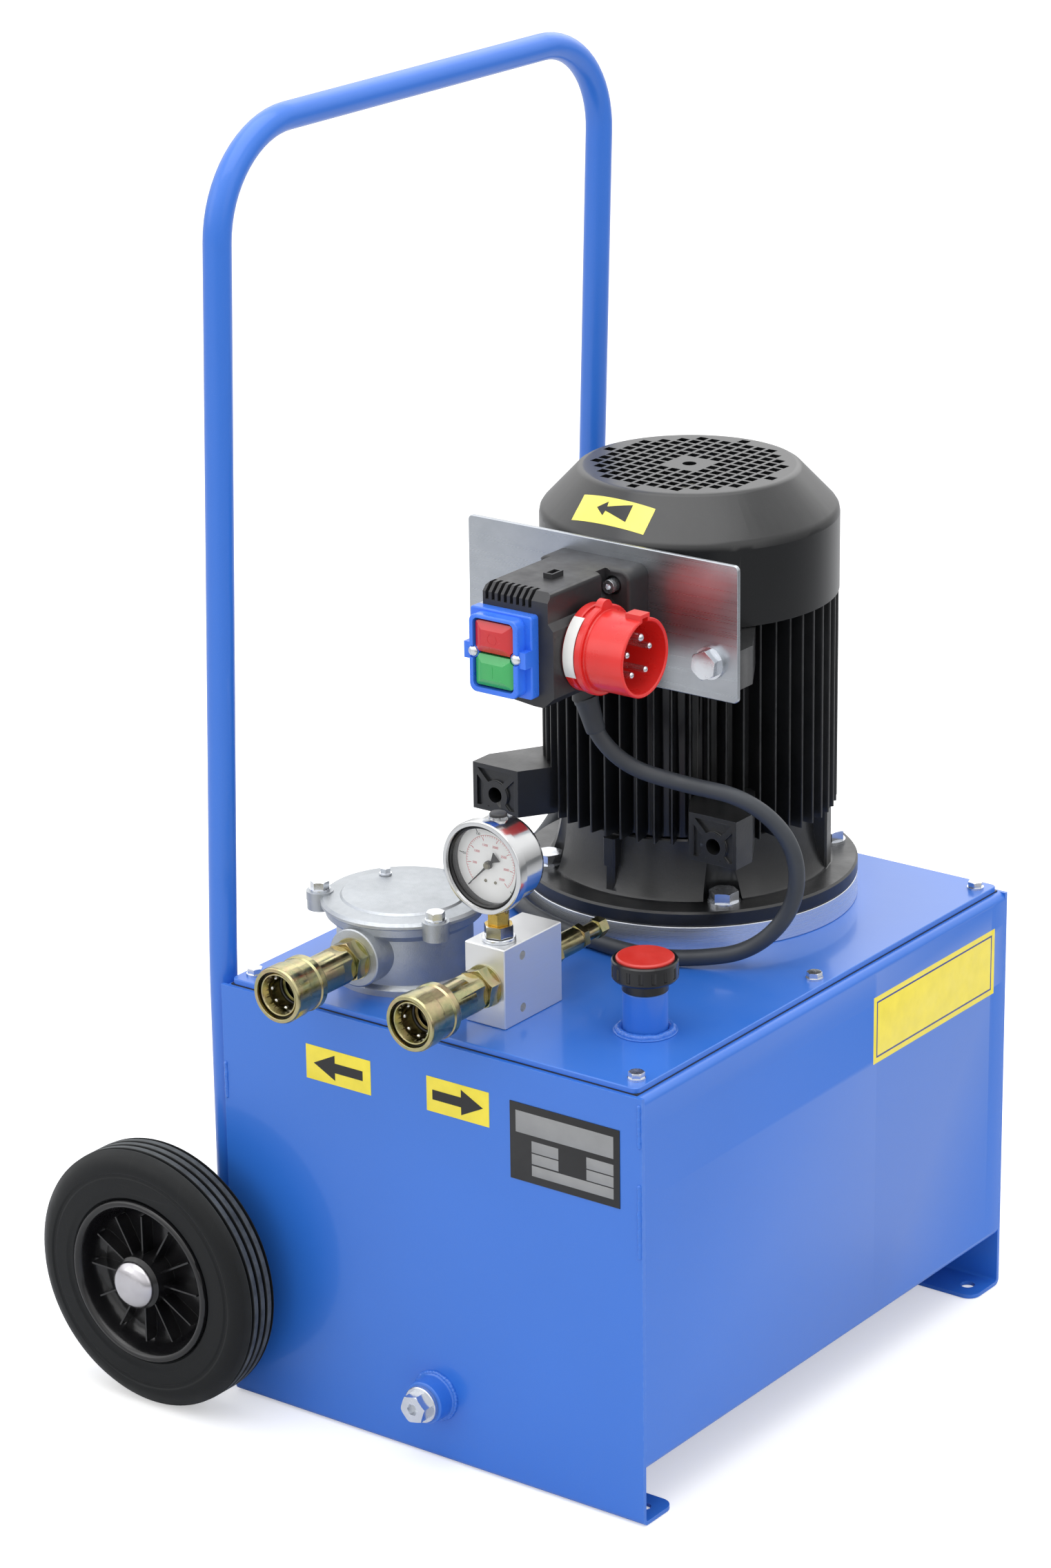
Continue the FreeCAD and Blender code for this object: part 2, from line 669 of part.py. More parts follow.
def return_filter():
    lid_top = d.tank_top + d.gasket + d.lid_thickness
    seat = d.filter_cover_z
    shell = turned([
        (40, 200), (43, 200), (43, lid_top), (52.5, lid_top), (52.5, lid_top + 4.5),
        (51.5, lid_top + 6), (d.filter_radius, lid_top + 7.5), (d.filter_radius, seat - 12),
        (54.5, seat - 8), (56.5, seat - 6), (57.5, seat), (45, seat), (44, seat - 1),
        (44, lid_top + 6), (40, lid_top + 2),
    ], (d.filter_x, d.filter_y, 0))
    pieces = [shell]
    cover_pieces = [filter_cover_disc()]
    for x, y in filter_ear_places():
        pieces.append(cylinder(9.4, 7, (x, y, seat - 7)))
        cover_pieces.append(cylinder(9.8, 6.6, (x, y, seat + 0.05)))
    boss = turned([
        (0, 0), (24, 0), (24, 22), (21.5, 28), (21.5, 61.4), (20.6, 62), (0, 62),
    ], (d.return_port_x, d.filter_y, d.port_z), "-Y")
    pieces.append(boss)
    hollow = cylinder(43.9, seat - lid_top - 4, (d.filter_x, d.filter_y, lid_top + 5))
    port = cylinder(10.55, 70, (d.return_port_x, d.filter_y, d.port_z), "-Y")
    screw_holes = [cylinder(4.05, 10, (x, y, seat - 5.6)) for x, y in filter_ear_places()]
    node("filter_housing", cut(joined(*pieces), hollow, port, *screw_holes))
    through = [cylinder(4.2, 20, (x, y, seat - 2)) for x, y in filter_ear_places()]
    node("filter_cover", cut(joined(*cover_pieces), *through))
    screws = []
    for i, (x, y) in enumerate(filter_ear_places()):
        screws.append(hex_bolt(8, 5.4, 12, 12, (7.6, 1.6), (x, y, seat + 6.65), turn=11 + 20 * i))
    vent = ring_points(37, 3, 149, (float(d.filter_x), float(d.filter_y)))[0]
    screws.append(joined(cylinder(4.6, 1.2, (vent[0], vent[1], seat + 8.05)),
                         hexagon(7, 4, (vent[0], vent[1], seat + 9), turn=8)))
    node("filter_screws", together(*screws))
    element = turned([
        (12, 208), (38, 208), (38, 213), (35, 213), (35, 356), (38, 356), (38, 362), (12, 362),
    ], (d.filter_x, d.filter_y, 0))
    node("filter_element", element)


def filter_cover_disc():
    seat = d.filter_cover_z + 0.05
    return turned([
        (0, seat), (d.filter_cover_radius - 1, seat), (d.filter_cover_radius, seat + 1),
        (d.filter_cover_radius, seat + 3), (58, seat + 5), (46, seat + 6.2), (44.5, seat + 7.6),
        (0, seat + 8),
    ], (d.filter_x, d.filter_y, 0))


def filter_ear_places():
    return ring_points(61, 3, 89, (float(d.filter_x), float(d.filter_y)))


# ---------------------------------------------------------------- couplings


def coupling(name, port_x, seat_y):
    """A female quick coupling: local +Z points from its seat towards the mouth."""
    origin = (port_x, seat_y, d.port_z)
    bore = 11.8
    back = 12
    flat_length = 11
    length = 86
    radius = d.coupler_radius
    body = turned([
        (5, back), (12.2, back), (12.2, back + 3), (radius, back + 4), (radius, back + 36),
        (radius + 1.6, back + 37), (radius + 1.6, back + 40), (radius, back + 41), (16, back + 46),
        (16, length - 3.2), (15.2, length - 2), (14.4, length - 2), (bore, length - 8),
        (bore, length - 23), (10.7, length - 23), (10.7, length - 39),
        (5.8, length - 43), (5.8, length - 52), (7.5, length - 54), (7.5, back + 14),
        (5, back + 12),
    ], origin, "-Y")
    flats = []
    for offset in (12.3, -18.3):
        start_y = seat_y - back - 4 - flat_length
        flats.append(box((6, flat_length, 40), (port_x + offset, start_y, d.port_z - 20)))
        flats.append(box((40, flat_length, 6), (port_x - 20, start_y, d.port_z + offset)))
    node(name + "_coupler_body", cut(body, *flats))
    sleeve = turned([
        (16.06, length - 33), (19.4, length - 33), (20.2, length - 32), (20.2, length - 27),
        (19.2, length - 26), (19.2, length - 16), (20.4, length - 15), (20.6, length - 2),
        (19.8, length), (17.2, length), (17.2, length - 4.5), (16.06, length - 6),
    ], origin, "-Y")
    node(name + "_coupler_sleeve", sleeve)
    poppet = turned([
        (0, length - 48), (5.4, length - 48), (5.4, length - 34), (9.3, length - 31),
        (9.3, length - 24.5), (8.2, length - 23.5), (6.6, length - 23.5), (6.2, length - 27),
        (0, length - 27),
    ], origin, "-Y")
    node(name + "_coupler_poppet", poppet)


def couplings():
    filter_face = d.filter_y - 62
    nipples = []
    for port_x, seat_y in ((d.return_port_x, filter_face), (d.pressure_port_x, d.block_front)):
        nipples.append(joined(
            cylinder(10.4, 12, (port_x, seat_y + 12, d.port_z), "-Y"),
            cylinder(15.4, 1.6, (port_x, seat_y, d.port_z), "-Y"),
            hexagon(27, 10.3, (port_x, seat_y - 1.5, d.port_z), "-Y", 20),
            cylinder(4.9, 16, (port_x, seat_y - 1.5, d.port_z), "-Y"),
        ))
    node("coupler_nipples", together(*nipples))
    coupling("return", d.return_port_x, filter_face)
    coupling("pressure", d.pressure_port_x, d.block_front)


# ---------------------------------------------------------------- manifold and gauge


def manifold():
    width = d.block_right - d.block_left
    depth = d.block_back - d.block_front
    lid_top = d.tank_top + d.gasket + d.lid_thickness
    block = extruded(rectangle(0, 0, width, depth), d.block_top - lid_top,
                     (d.block_left, d.block_front, lid_top))

    def corner(edge):
        return edge.Length > 5

    dress(block, "Chamfer", 0.7, corner)
    holes = [
        cylinder(10.45, 40, (d.pressure_port_x, d.block_front - 1, d.port_z), "+Y"),
        cylinder(9.05, 22, (d.pressure_port_x, d.block_back + 1, d.port_z), "-Y"),
        cylinder(6.6, 20, (d.gauge_x, d.gauge_y, d.block_top - 19)),
        cylinder(7.6, 30, (d.pressure_port_x, -150, lid_top - 1)),
    ]
    for z in (338.5, 377.5):
        holes.append(cylinder(3.3, 6, (d.block_right - 5, -181, z), "+X"))
    node("manifold_block", cut(block, *holes))
    relief = turned([
        (0, -18), (9, -18), (9, 0), (12.5, 0), (12.5, 2), (10.5, 2.4), (10.5, 10.5), (9, 11.5),
        (9, 38), (8.2, 39), (8.2, 41.5), (6, 42), (6, 61), (5.4, 62), (5.4, 64), (0, 64),
    ], (d.pressure_port_x, d.block_back, d.port_z), "+Y")
    lock_nut = hexagon(22, 8, (d.pressure_port_x, d.block_back + 2, d.port_z), "+Y", 9)
    stem_nut = hexagon(17, 6, (d.pressure_port_x, d.block_back + 40, d.port_z), "+Y", 22)
    end_screw = hexagon(13, 9, (d.pressure_port_x, d.block_back + 62.5, d.port_z), "+Y", 5)
    node("relief_valve", joined(relief, lock_nut, stem_nut, end_screw))


def gauge():
    face_y = d.gauge_y - 12.5
    centre = (d.gauge_x, face_y, d.gauge_z)
    case = turned([
        (0, -27), (27, -27), (30, -25.5), (31, -22), (31, -2), (34, -1), (d.bezel_radius, 5),
        (33.4, 6.2), (32, 6.8), (30.4, 6.8), (29.4, 3.2), (29.4, -3), (28.8, -3), (28.8, -25),
        (0, -25),
    ], centre, "-Y")
    stem = joined(
        cylinder(6.5, d.gauge_z - d.block_top - 12, (d.gauge_x, d.gauge_y, d.block_top - 16)),
        hexagon(14, 9, (d.gauge_x, d.gauge_y, d.block_top + 12)),
        cylinder(7.2, 10, (d.gauge_x, d.gauge_y, d.block_top + 20)),
    )
    hollow = cylinder(28.8, 21.9, (d.gauge_x, face_y + 24.9, d.gauge_z), "-Y")
    plug_seat = cylinder(7, 4, (d.gauge_x, face_y + 14, d.gauge_z + 29))
    nut = hexagon(19, 8.4, (d.gauge_x, d.gauge_y, d.block_top + 3.5), turn=14)
    node("gauge_case", joined(case, cut(stem, hollow), nut, plug_seat))
    lens = cylinder(29.35, 2, (d.gauge_x, face_y - 1, d.gauge_z), "-Y")
    node("gauge_lens", lens)
    dial = cut(cylinder(28.7, 1, (d.gauge_x, face_y + 6, d.gauge_z), "-Y"),
               cylinder(1.6, 4, (d.gauge_x, face_y + 8, d.gauge_z), "-Y"))
    node("gauge_dial", dial)
    pointer_angle = math.radians(225)
    tip, tail = 25.5, 9.5
    flat = [(tip, 0.25), (8, 0.6), (3, 1), (-4, 1), (-tail, 4), (-tail, -4), (-4, -1), (3, -1),
            (8, -0.6), (tip, -0.25)]
    blade = extruded(flat, 0.7, (d.gauge_x, face_y + 3.4, d.gauge_z), "-Y",
                     math.degrees(pointer_angle))
    hub = turned([
        (0, -9), (1.52, -9), (1.52, 1.2), (3, 1.2), (3, 3), (2, 3.6), (0, 3.6),
    ], (d.gauge_x, face_y + 4.6, d.gauge_z), "-Y")
    node("gauge_pointer", joined(blade, hub))


# ---------------------------------------------------------------- motor


def bolt_places():
    return ring_points(float(d.bolt_circle), 4, BOLT_ANGLE, (float(d.motor_x), float(d.motor_y)))


def motor_base():
    lid_top = d.tank_top + d.gasket + d.lid_thickness
    axis = (d.motor_x, d.motor_y, 0)
    ring = turned([
        (90.1, lid_top), (d.flange_radius - 0.5, lid_top), (d.flange_radius, lid_top + 0.5),
        (d.flange_radius, d.ring_top - 0.5), (d.flange_radius - 0.5, d.ring_top), (90.1, d.ring_top),
    ], axis)
    clearances = [cylinder(6.6, 40, (x, y, lid_top - 5)) for x, y in bolt_places()]
    node("adapter_ring", cut(ring, *clearances))

    shield_inner = 84
    shield = turned([
        (17, 341), (90, 341), (90, d.ring_top), (d.flange_radius - 1, d.ring_top),
        (d.flange_radius, d.ring_top + 1), (d.flange_radius, d.flange_top - 1.5),
        (d.flange_radius - 1.5, d.flange_top), (107, d.flange_top), (105, d.flange_top + 0.8),
        (103.8, d.flange_top + 2.6), (101.6, d.flange_top + 8), (99.2, d.flange_top + 16),
        (97.2, d.flange_top + 25), (95.8, d.flange_top + 34), (95.2, d.shield_top - 1.2),
        (94, d.shield_top), (shield_inner, d.shield_top), (shield_inner, 362), (42, 352),
        (42, 374), (36.05, 374), (36.05, 354), (17, 354),
    ], axis)
    # Cast posts for the frame's tie bolts, and the tall lug of the earth screw.
    posts = [shield_post(20, 8, d.lug_radius, d.flange_top - 0.5, d.shield_top - 0.5)]
    for angle in (-90, 90, 180):
        posts.append(shield_post(angle, 5.25, d.lug_radius - 1, 378.5, d.shield_top - 2))
        posts.append(shield_post(angle, 4, d.lug_radius - 2.5, d.flange_top - 0.5, 379))
    pockets = [cylinder(15, 60, (x, y, d.flange_top)) for x, y in bolt_places()]
    holes = [cylinder(6.6, 40, (x, y, 330)) for x, y in bolt_places()]
    node("motor_flange", cut(joined(shield, *posts), *pockets, *holes))
    bolts = []
    for i, (x, y) in enumerate(bolt_places()):
        bolts.append(hex_bolt(12, 7.5, 19, 40, (12, 2.5), (x, y, d.flange_top), turn=12 + 25 * i))
    for side in (-1, 1):
        bolts.append(hex_bolt(12, 7.5, 19, 14, (12, 2.5),
                              (d.motor_x + side * d.foot_bolt_x, plate_front(), d.upper_foot_z),
                              "-Y", 22))
    node("motor_bolts", together(*bolts))


def shield_post(angle, half_width, reach, low, high):
    """An upright rib on the shield, at an angle round the motor's axis."""
    outline = [(90, -half_width), (reach - 1.5, -half_width), (reach, 1.5 - half_width),
               (reach, half_width - 1.5), (reach - 1.5, half_width), (90, half_width)]
    return extruded(outline, high - low, (d.motor_x, d.motor_y, low), turn=angle)


def plate_front():
    return d.motor_y - d.foot_plane - 3


def motor_frame():
    """The finned frame with four foot pads on its front and a terminal seat on its back."""
    fin_bottom = d.shield_top + 1
    frame = turned([
        (80, d.shield_top), (92.5, d.shield_top), (d.fin_root, d.shield_top + 2),
        (d.fin_root, d.frame_top), (80, d.frame_top),
    ], (d.motor_x, d.motor_y, 0))
    doc.recompute()
    fin = [(d.fin_root - 1, -1.9), (d.fin_radius - 1, -1.2), (d.fin_radius, -0.5),
           (d.fin_radius, 0.5), (d.fin_radius - 1, 1.2), (d.fin_root - 1, 1.9)]
    ribbed(frame, fin, d.cowl_bottom - fin_bottom - 0.4, FIN_COUNT, fin_bottom)
    pieces = [frame]
    for side in (-1, 1):
        pieces.append(foot_pad(side, d.lower_foot_z, -13.5, 22.5))
        pieces.append(foot_pad(side, d.upper_foot_z, -18.5, 10))
    seat = box((96, 17.2, 86), (d.motor_x - 48, d.motor_y + 92, 413))
    pieces.append(seat)
    tube = cylinder(80.05, 300, (d.motor_x, d.motor_y, 350))
    foot_holes = []
    for side in (-1, 1):
        for z in (d.lower_foot_z, d.upper_foot_z):
            foot_holes.append(cylinder(6.05, 30, (d.motor_x + side * d.foot_bolt_x,
                                                  d.motor_y - d.foot_plane - 1, z), "+Y"))
    node("motor_frame", joined(cut(joined(*pieces), tube, *foot_holes), rear_shield()))


def rear_shield():
    """The end shield above the frame, with the seat of the upper bearing."""
    top = d.frame_top
    return turned([
        (21, 556), (40, 556), (40, 561), (80.2, 566), (80.2, top - 0.5), (93.5, top - 0.5),
        (93.5, top + 4), (76, top + 6), (42, top + 10), (36.05, top + 10), (36.05, 561.5),
        (21, 561.5),
    ], (d.motor_x, d.motor_y, 0))


def foot_pad(side, hole_z, below, above):
    """One foot: a block back to the frame, its face dished round a boss with four webs."""
    face = d.motor_y - d.foot_plane
    hole_x = d.motor_x + side * d.foot_bolt_x
    outline = [(side * 76, 0), (side * 117, 0), (side * 117, 20), (side * 88, 68), (side * 60, 52),
               (side * 60, 24)]
    if side < 0:
        outline.reverse()
    block = extruded(outline, above - below, (d.motor_x, face, hole_z + below))
    rim, relief = 3.5, 2.4
    left, low = d.motor_x + min(side * 76, side * 117) + rim, below + rim
    dish = box((41 - 2 * rim, relief + 1, above - below - 2 * rim), (left, face - 1, hole_z + low))
    webs = [cylinder(11, 6, (hole_x, face - 2, hole_z), "+Y")]
    for slope in (-1, 1):
        web = [(-30 * slope, -33), (-30 * slope, -27), (30 * slope, 33), (30 * slope, 27)]
        webs.append(extruded(web, 6, (hole_x, face - 2, hole_z), "+Y"))
    return cut(block, cut(dish, *webs))


def cowl():
    axis = (d.motor_x, d.motor_y, 0)
    low, shoulder, top = d.cowl_bottom, d.cowl_shoulder, d.cowl_top
    skin = 1.8
    outer = d.fin_radius + 0.6
    shell = turned([
        (outer - skin, low), (outer, low), (outer, shoulder - 6), (outer - 0.7, shoulder - 2),
        (outer - 2.6, shoulder + 1), (d.grille_radius + 2.4, top - 2), (d.grille_radius, top - 0.5),
        (d.grille_radius - 3, top), (0, top), (0, top - skin), (d.grille_radius - 3, top - skin),
        (outer - 4.6, shoulder), (outer - skin, shoulder - 7),
    ], axis)
    slots = []
    pitch, hole = float(d.grille_pitch), float(d.grille_hole)
    for i in range(-7, 8):
        for j in range(-7, 8):
            in_hub = abs(i) <= 1 and abs(j) <= 1
            if in_hub or pitch * math.hypot(i, j) > 71:
                continue
            slots.append(box((hole, hole, 8), (d.motor_x + (i * pitch - hole / 2),
                                               d.motor_y + (j * pitch - hole / 2), top - 5)))
    eye = cylinder(5.2, 8, (d.motor_x, d.motor_y, top - 5))
    base = cut(shell, together(eye, *slots))
    screws = []
    for angle in (-40, 50, 140, 230):
        x = float(d.motor_x) + 109.4 * math.cos(math.radians(angle))
        y = float(d.motor_y) + 109.4 * math.sin(math.radians(angle))
        screws.append(ellipsoid(2.6, 2.6, (x, y, 592)))
    node("motor_cowl", joined(base, *screws))


def motor_inside():
    axis = (d.motor_x, d.motor_y, 0)
    stator = turned([
        (48.4, 425), (66, 425), (66, 438), (79.9, 438), (79.9, 538), (66, 538), (66, 552),
        (48.4, 552),
    ], axis)
    node("motor_stator", stator)
    r = d.shaft_radius
    shaft = turned([
        (0, 296), (11.9, 296), (12, 330), (14, 332), (14, 353.5), (r - 0.05, 354),
        (r - 0.05, 374), (20, 374.6), (20, 436), (48, 436), (48, 540), (20, 540), (20, 561.4),
        (r - 0.05, 562), (r - 0.05, 582), (11, 583), (11, 640), (0, 640),
    ], axis)
    node("motor_rotor", shaft)
    bearings = []
    for z in (354.1, 562.2):
        bearings.append(turned([
            (r, z), (19.6, z), (20.4, z + 0.8), (30.6, z + 0.8), (31.4, z), (36, z),
            (36, z + 18.6), (31.4, z + 18.6), (30.6, z + 17.8), (20.4, z + 17.8),
            (19.6, z + 18.6), (r, z + 18.6),
        ], axis))
    node("motor_bearings", together(*bearings))
    hub = turned([
        (11.05, 600), (20, 600), (24, 606), (70, 612), (70, 614.5), (22, 614.5), (20, 626),
        (11.05, 626),
    ], axis)
    doc.recompute()
    ribbed(hub, rectangle(26, -1.2, 92, 1.2), 26, FAN_BLADES, 602)
    clearance = cut(hub, turned([(86, 600), (120, 600), (120, 640), (78, 640)], axis))
    node("motor_fan", clearance)


def terminal_box():
    """The cover behind the motor with its cable gland on the wheel side."""
    half_width, depth, z, height = 50, 120.5, 427, 63
    front = 109.3
    cover = extruded(rectangle(-half_width, 0, half_width, height), depth - front,
                     (d.motor_x, d.motor_y + front, z), "+Y")
    dress(cover, "Chamfer", 2, flat_at(depth - front))
    screws = []
    for x in (-42, 42):
        for rise in (8, 55):
            screws.append(cylinder(2.6, 1.5, (d.motor_x + x, d.motor_y + depth - 0.3, z + rise), "+Y"))
    gland_x, gland_y, gland_z = CABLE_ROUTE[-1]
    gland = joined(
        cylinder(7.8, 12, (gland_x + 0.5, gland_y, gland_z), "-X"),
        hexagon(16, 4, (gland_x + 0.5, gland_y, gland_z), "-X"),
        hexagon(16, 5, (gland_x - 6, gland_y, gland_z), "-X"),
    )
    bore = cylinder(d.cable_radius + 0.02, 30, (gland_x, gland_y, gland_z), "-X")
    flare = cylinder(d.cable_radius + 0.8, 20, (gland_x - 8, gland_y, gland_z), "-X")
    node("terminal_box", joined(cover, cut(gland, bore, flare), *screws))


# ---------------------------------------------------------------- pump


def gear_outline(teeth, module, clearance):
    """Outline of a spur gear with straight-sided teeth, one tooth centred on local +X."""
    pitch_radius = module * teeth / 2
    outer = pitch_radius + module * 0.95
    root = pitch_radius - module * 1.15
    step = 360 / teeth
    points = []
    for i in range(teeth):
        middle = i * step
        for radius, share in ((root, -0.36), (pitch_radius, -0.25), (outer, -0.115),
                              (outer, 0.115), (pitch_radius, 0.25), (root, 0.36)):
            angle = math.radians(middle + share * step + (clearance if share < 0 else -clearance))
            points.append((radius * math.cos(angle), radius * math.sin(angle)))
    return points


def pump():
    gap = GEAR_TEETH * float(d.gear_module)
    module = float(d.gear_module)
    outer = gap / 2 + module * 0.95
    driven_x = d.motor_x + gap
    low = 206
    width = d.gear_width

    drive = extruded(gear_outline(GEAR_TEETH, module, 0.9), width, (d.motor_x, d.motor_y, low))
    drive_shaft = cylinder(7.95, 88, (d.motor_x, d.motor_y, low - 14))
    node("pump_drive_gear", joined(drive, drive_shaft))
    driven = extruded(gear_outline(GEAR_TEETH, module, 0.9), width, (driven_x, d.motor_y, low),
                      turn=180 / GEAR_TEETH)
    driven_shaft = cylinder(7.95, width + 26, (driven_x, d.motor_y, low - 13))
    node("pump_driven_gear", joined(driven, driven_shaft))

    left, right = d.motor_x - 32, driven_x + 32
    shell = box((right - left, 74, 78), (left, d.motor_y - 37, low - 30))
    mount = box((right - left + 26, 96, 12), (left - 13, d.motor_y - 48, low + 48))
    hollows = []
    for x in (d.motor_x, driven_x):
        hollows.append(cylinder(outer + 0.1, width + 0.2, (x, d.motor_y, low - 0.1)))
        hollows.append(cylinder(8, width + 30, (x, d.motor_y, low - 15)))
    hollows.append(cylinder(8.05, 90, (d.motor_x, d.motor_y, low - 15)))
    hollows.append(cylinder(8.05, 30, (d.motor_x + gap / 2, d.motor_y - 50, low + 9), "+Y"))
    bell = turned([
        (30, low + 60), (66, low + 60), (66, low + 66), (52, low + 68), (52, 312), (84, 318),
        (84.8, 340.9), (78, 340.9), (78, 322), (46, 316), (46, low + 70), (30, low + 66),
    ], (d.motor_x, d.motor_y, 0))
    node("pump_body", joined(cut(joined(shell, mount), *hollows), bell))

    hub_low = turned([(8, 268), (20, 268), (20, 281), (8, 281)], (d.motor_x, d.motor_y, 0))
    hub_high = turned([(12, 291), (20, 291), (20, 316), (12, 316)], (d.motor_x, d.motor_y, 0))
    spider = turned([(6, 281), (19.4, 281), (19.4, 291), (6, 291)], (d.motor_x, d.motor_y, 0))
    node("shaft_coupling", together(hub_low, spider, hub_high))

    suction = joined(
        cylinder(8, 50, (d.motor_x + gap / 2, d.motor_y - 37 - 14, low + 9 - 58)),
        box((22, 22, 22), (d.motor_x + gap / 2 - 11, d.motor_y - 37 - 22.5, low - 2)),
        cylinder(8, 16, (d.motor_x + gap / 2, d.motor_y - 38.5, low + 9), "+Y"),
        cylinder(24, 66, (d.motor_x + gap / 2, d.motor_y - 51, 92)),
    )
    node("suction_strainer", suction)


# ---------------------------------------------------------------- starter and inlet

# Centre line of the supply cable, from the starter's gland round the motor to the terminal box.
CABLE_ROUTE = [
    (9, -58, 550), (9, -58, 512), (33, -49, 478), (72, -32, 466), (119, -13, 459), (147, 5, 425),
    (148, 7, 378), (121, -8, 341), (81, -33, 334.4), (47, -46, 334.4), (0, -42, 334.4),
    (-60, -28, 334.4), (-105, 2, 334.4), (-137, 51, 335), (-146, 117, 346), (-146, 172, 408),
    (-117, 200, 436), (-79, 212, 446), (-58, 212, 446),
]
ARC_SHARE = 0.45


def starter():
    thickness = 3
    plate = extruded(rectangle(d.plate_left, d.plate_bottom, d.plate_right, d.plate_top), thickness,
                     (0, plate_front() + thickness, 0), "-Y",
                     holes=[(d.motor_x + side * d.foot_bolt_x, d.upper_foot_z, 6.5)
                            for side in (-1, 1)])
    dress(plate, "Fillet", 4, upright_at(lambda x, y: abs(y) > 0))
    dress(plate, "Chamfer", 0.4, flat_at(thickness))
    node("starter_plate", plate)

    case_screws = [(22, 606.5), (-39.8, 608)]
    starter_case(case_screws)
    screws = []
    for x, z in case_screws:
        head = cylinder(5, 10, (x, -36.05, z), "-Y")
        socket = hexagon(4, 5, (x, -43, z), "-Y", 12)
        screws.append(joined(cut(head, socket), cylinder(2.5, 19, (x, -17.2, z), "-Y")))

    front = d.starter_front
    starter_hood(front)
    for x in key_screw_places():
        head = common(ellipsoid(2.3, 4, (x, front - 15.55, d.key_screw_z), "-Y"),
                      box((12, 4, 12), (x - 6, front - 19.55, d.key_screw_z - 6)))
        shank = cylinder(1.5, 9, (x, front - 7, d.key_screw_z), "-Y")
        screws.append(joined(head, shank))
    node("starter_screws", together(*screws))
    button("red", 573.5, 22.7, front)
    button("green", 549, 22.9, front)


def key_screw_places():
    return (d.key_x - 18.5, d.key_x + 18.5)


def starter_case(case_screws):
    """The case: a rounded flange on the plate, the body, and the cable's gland below it."""
    back = plate_front()
    front = d.starter_front
    low, top = d.starter_bottom, d.starter_top
    flange_depth = 23.4
    flange = extruded(rectangle(-44, low, 36, top), flange_depth, (0, back, 0), "-Y")
    dress(flange, "Fillet", 8, upright)
    dress(flange, "Fillet", 2.5, flat_at(flange_depth))
    # The right cheek carries the inlet; above it the body steps in to the upper ledge.
    floor = low + 5
    outline = [
        (-35.5, floor + 9), (-29, floor + 5), (-11, floor + 2), (8, floor), (16, floor),
        (d.cheek_x, floor + 8), (d.cheek_x, top - 26),
        (d.cheek_x - 4.5, top - 21), (20.5, top - 3.5), (19.3, top - 1.2), (17, top),
        (-33, top), (-35.5, top - 2.5),
    ]
    body = extruded(outline, back - front, (0, back, 0), "-Y")
    front_bevel = box((22, 12, 70), (-40, front - 5, top - 11), "+X", 45)
    loop = cut(box((8, 13, 4.8), (-6.5, -84, top - 1)), box((5.2, 9.6, 6), (-5.1, -82.3, top + 0.6)))
    vents = []
    for i in range(8):
        vents.append(box((2.7, 12, 12), (-33.2 + 5.3 * i, front - 1, top - 11.5)))
    key_well = box((37.4, 11, 52), (d.key_x - 18.7, front - 1, 547))
    recesses = []
    for x, z in case_screws:
        recesses.append(cylinder(7, 16, (x, -36, z), "-Y"))
        recesses.append(cylinder(2.55, 22, (x, -15, z), "-Y"))
    corner = box((20, 12, 14), (case_screws[0][0] - 7, -52, case_screws[0][1]))
    entry_x, entry_y = CABLE_ROUTE[0][:2]
    gland = cylinder(8.6, 14, (entry_x, entry_y, low - 6))
    bore = cylinder(d.cable_radius + 0.02, 28, (entry_x, entry_y, low - 7))
    flare = cylinder(d.cable_radius + 1.4, 8, (entry_x, entry_y, low - 8))
    shell = cut(joined(flange, body), front_bevel, corner, key_well, *vents, *recesses)
    node("starter_case", cut(joined(shell, loop, gland), bore, flare))


def starter_hood(front):
    """The hood round the keys: a wide base, a narrower frame and two screw lugs."""
    half_base, half_frame, half_window = 26.6, 21, 17.5
    base_depth, depth, lug_depth = 8, 17.5, 15.5
    base = extruded(rectangle(-half_base, 542, half_base, 602.5), base_depth,
                    (d.key_x, front, 0), "-Y")
    dress(base, "Fillet", 2.5, upright)
    dress(base, "Fillet", 1.2, flat_at(base_depth))
    frame = extruded(rectangle(-half_frame, 543.5, half_frame, 600.5), depth,
                     (d.key_x, front, 0), "-Y")
    dress(frame, "Fillet", 6, upright)
    dress(frame, "Fillet", 1.2, flat_at(depth))
    window = extruded(rectangle(-half_window, 547.5, half_window, 598), depth + 4,
                      (d.key_x, front + 1, 0), "-Y")
    dress(window, "Fillet", 4, upright)
    lugs = []
    pilots = []
    for side, x in zip((-1, 1), key_screw_places()):
        arm_start = d.key_x + (side * 22 - 4.6)
        lugs.append(box((9.2, lug_depth, 12), (arm_start, front - lug_depth, d.key_screw_z - 6)))
        lugs.append(cylinder(4.6, lug_depth, (x, front, d.key_screw_z), "-Y"))
        pilots.append(cylinder(1.55, 12, (x, front - 6, d.key_screw_z), "-Y"))
        pilots.append(cylinder(4.4, 6, (x, front - lug_depth, d.key_screw_z), "-Y"))
    node("starter_hood", cut(joined(cut(joined(base, frame), window), *lugs), *pilots))


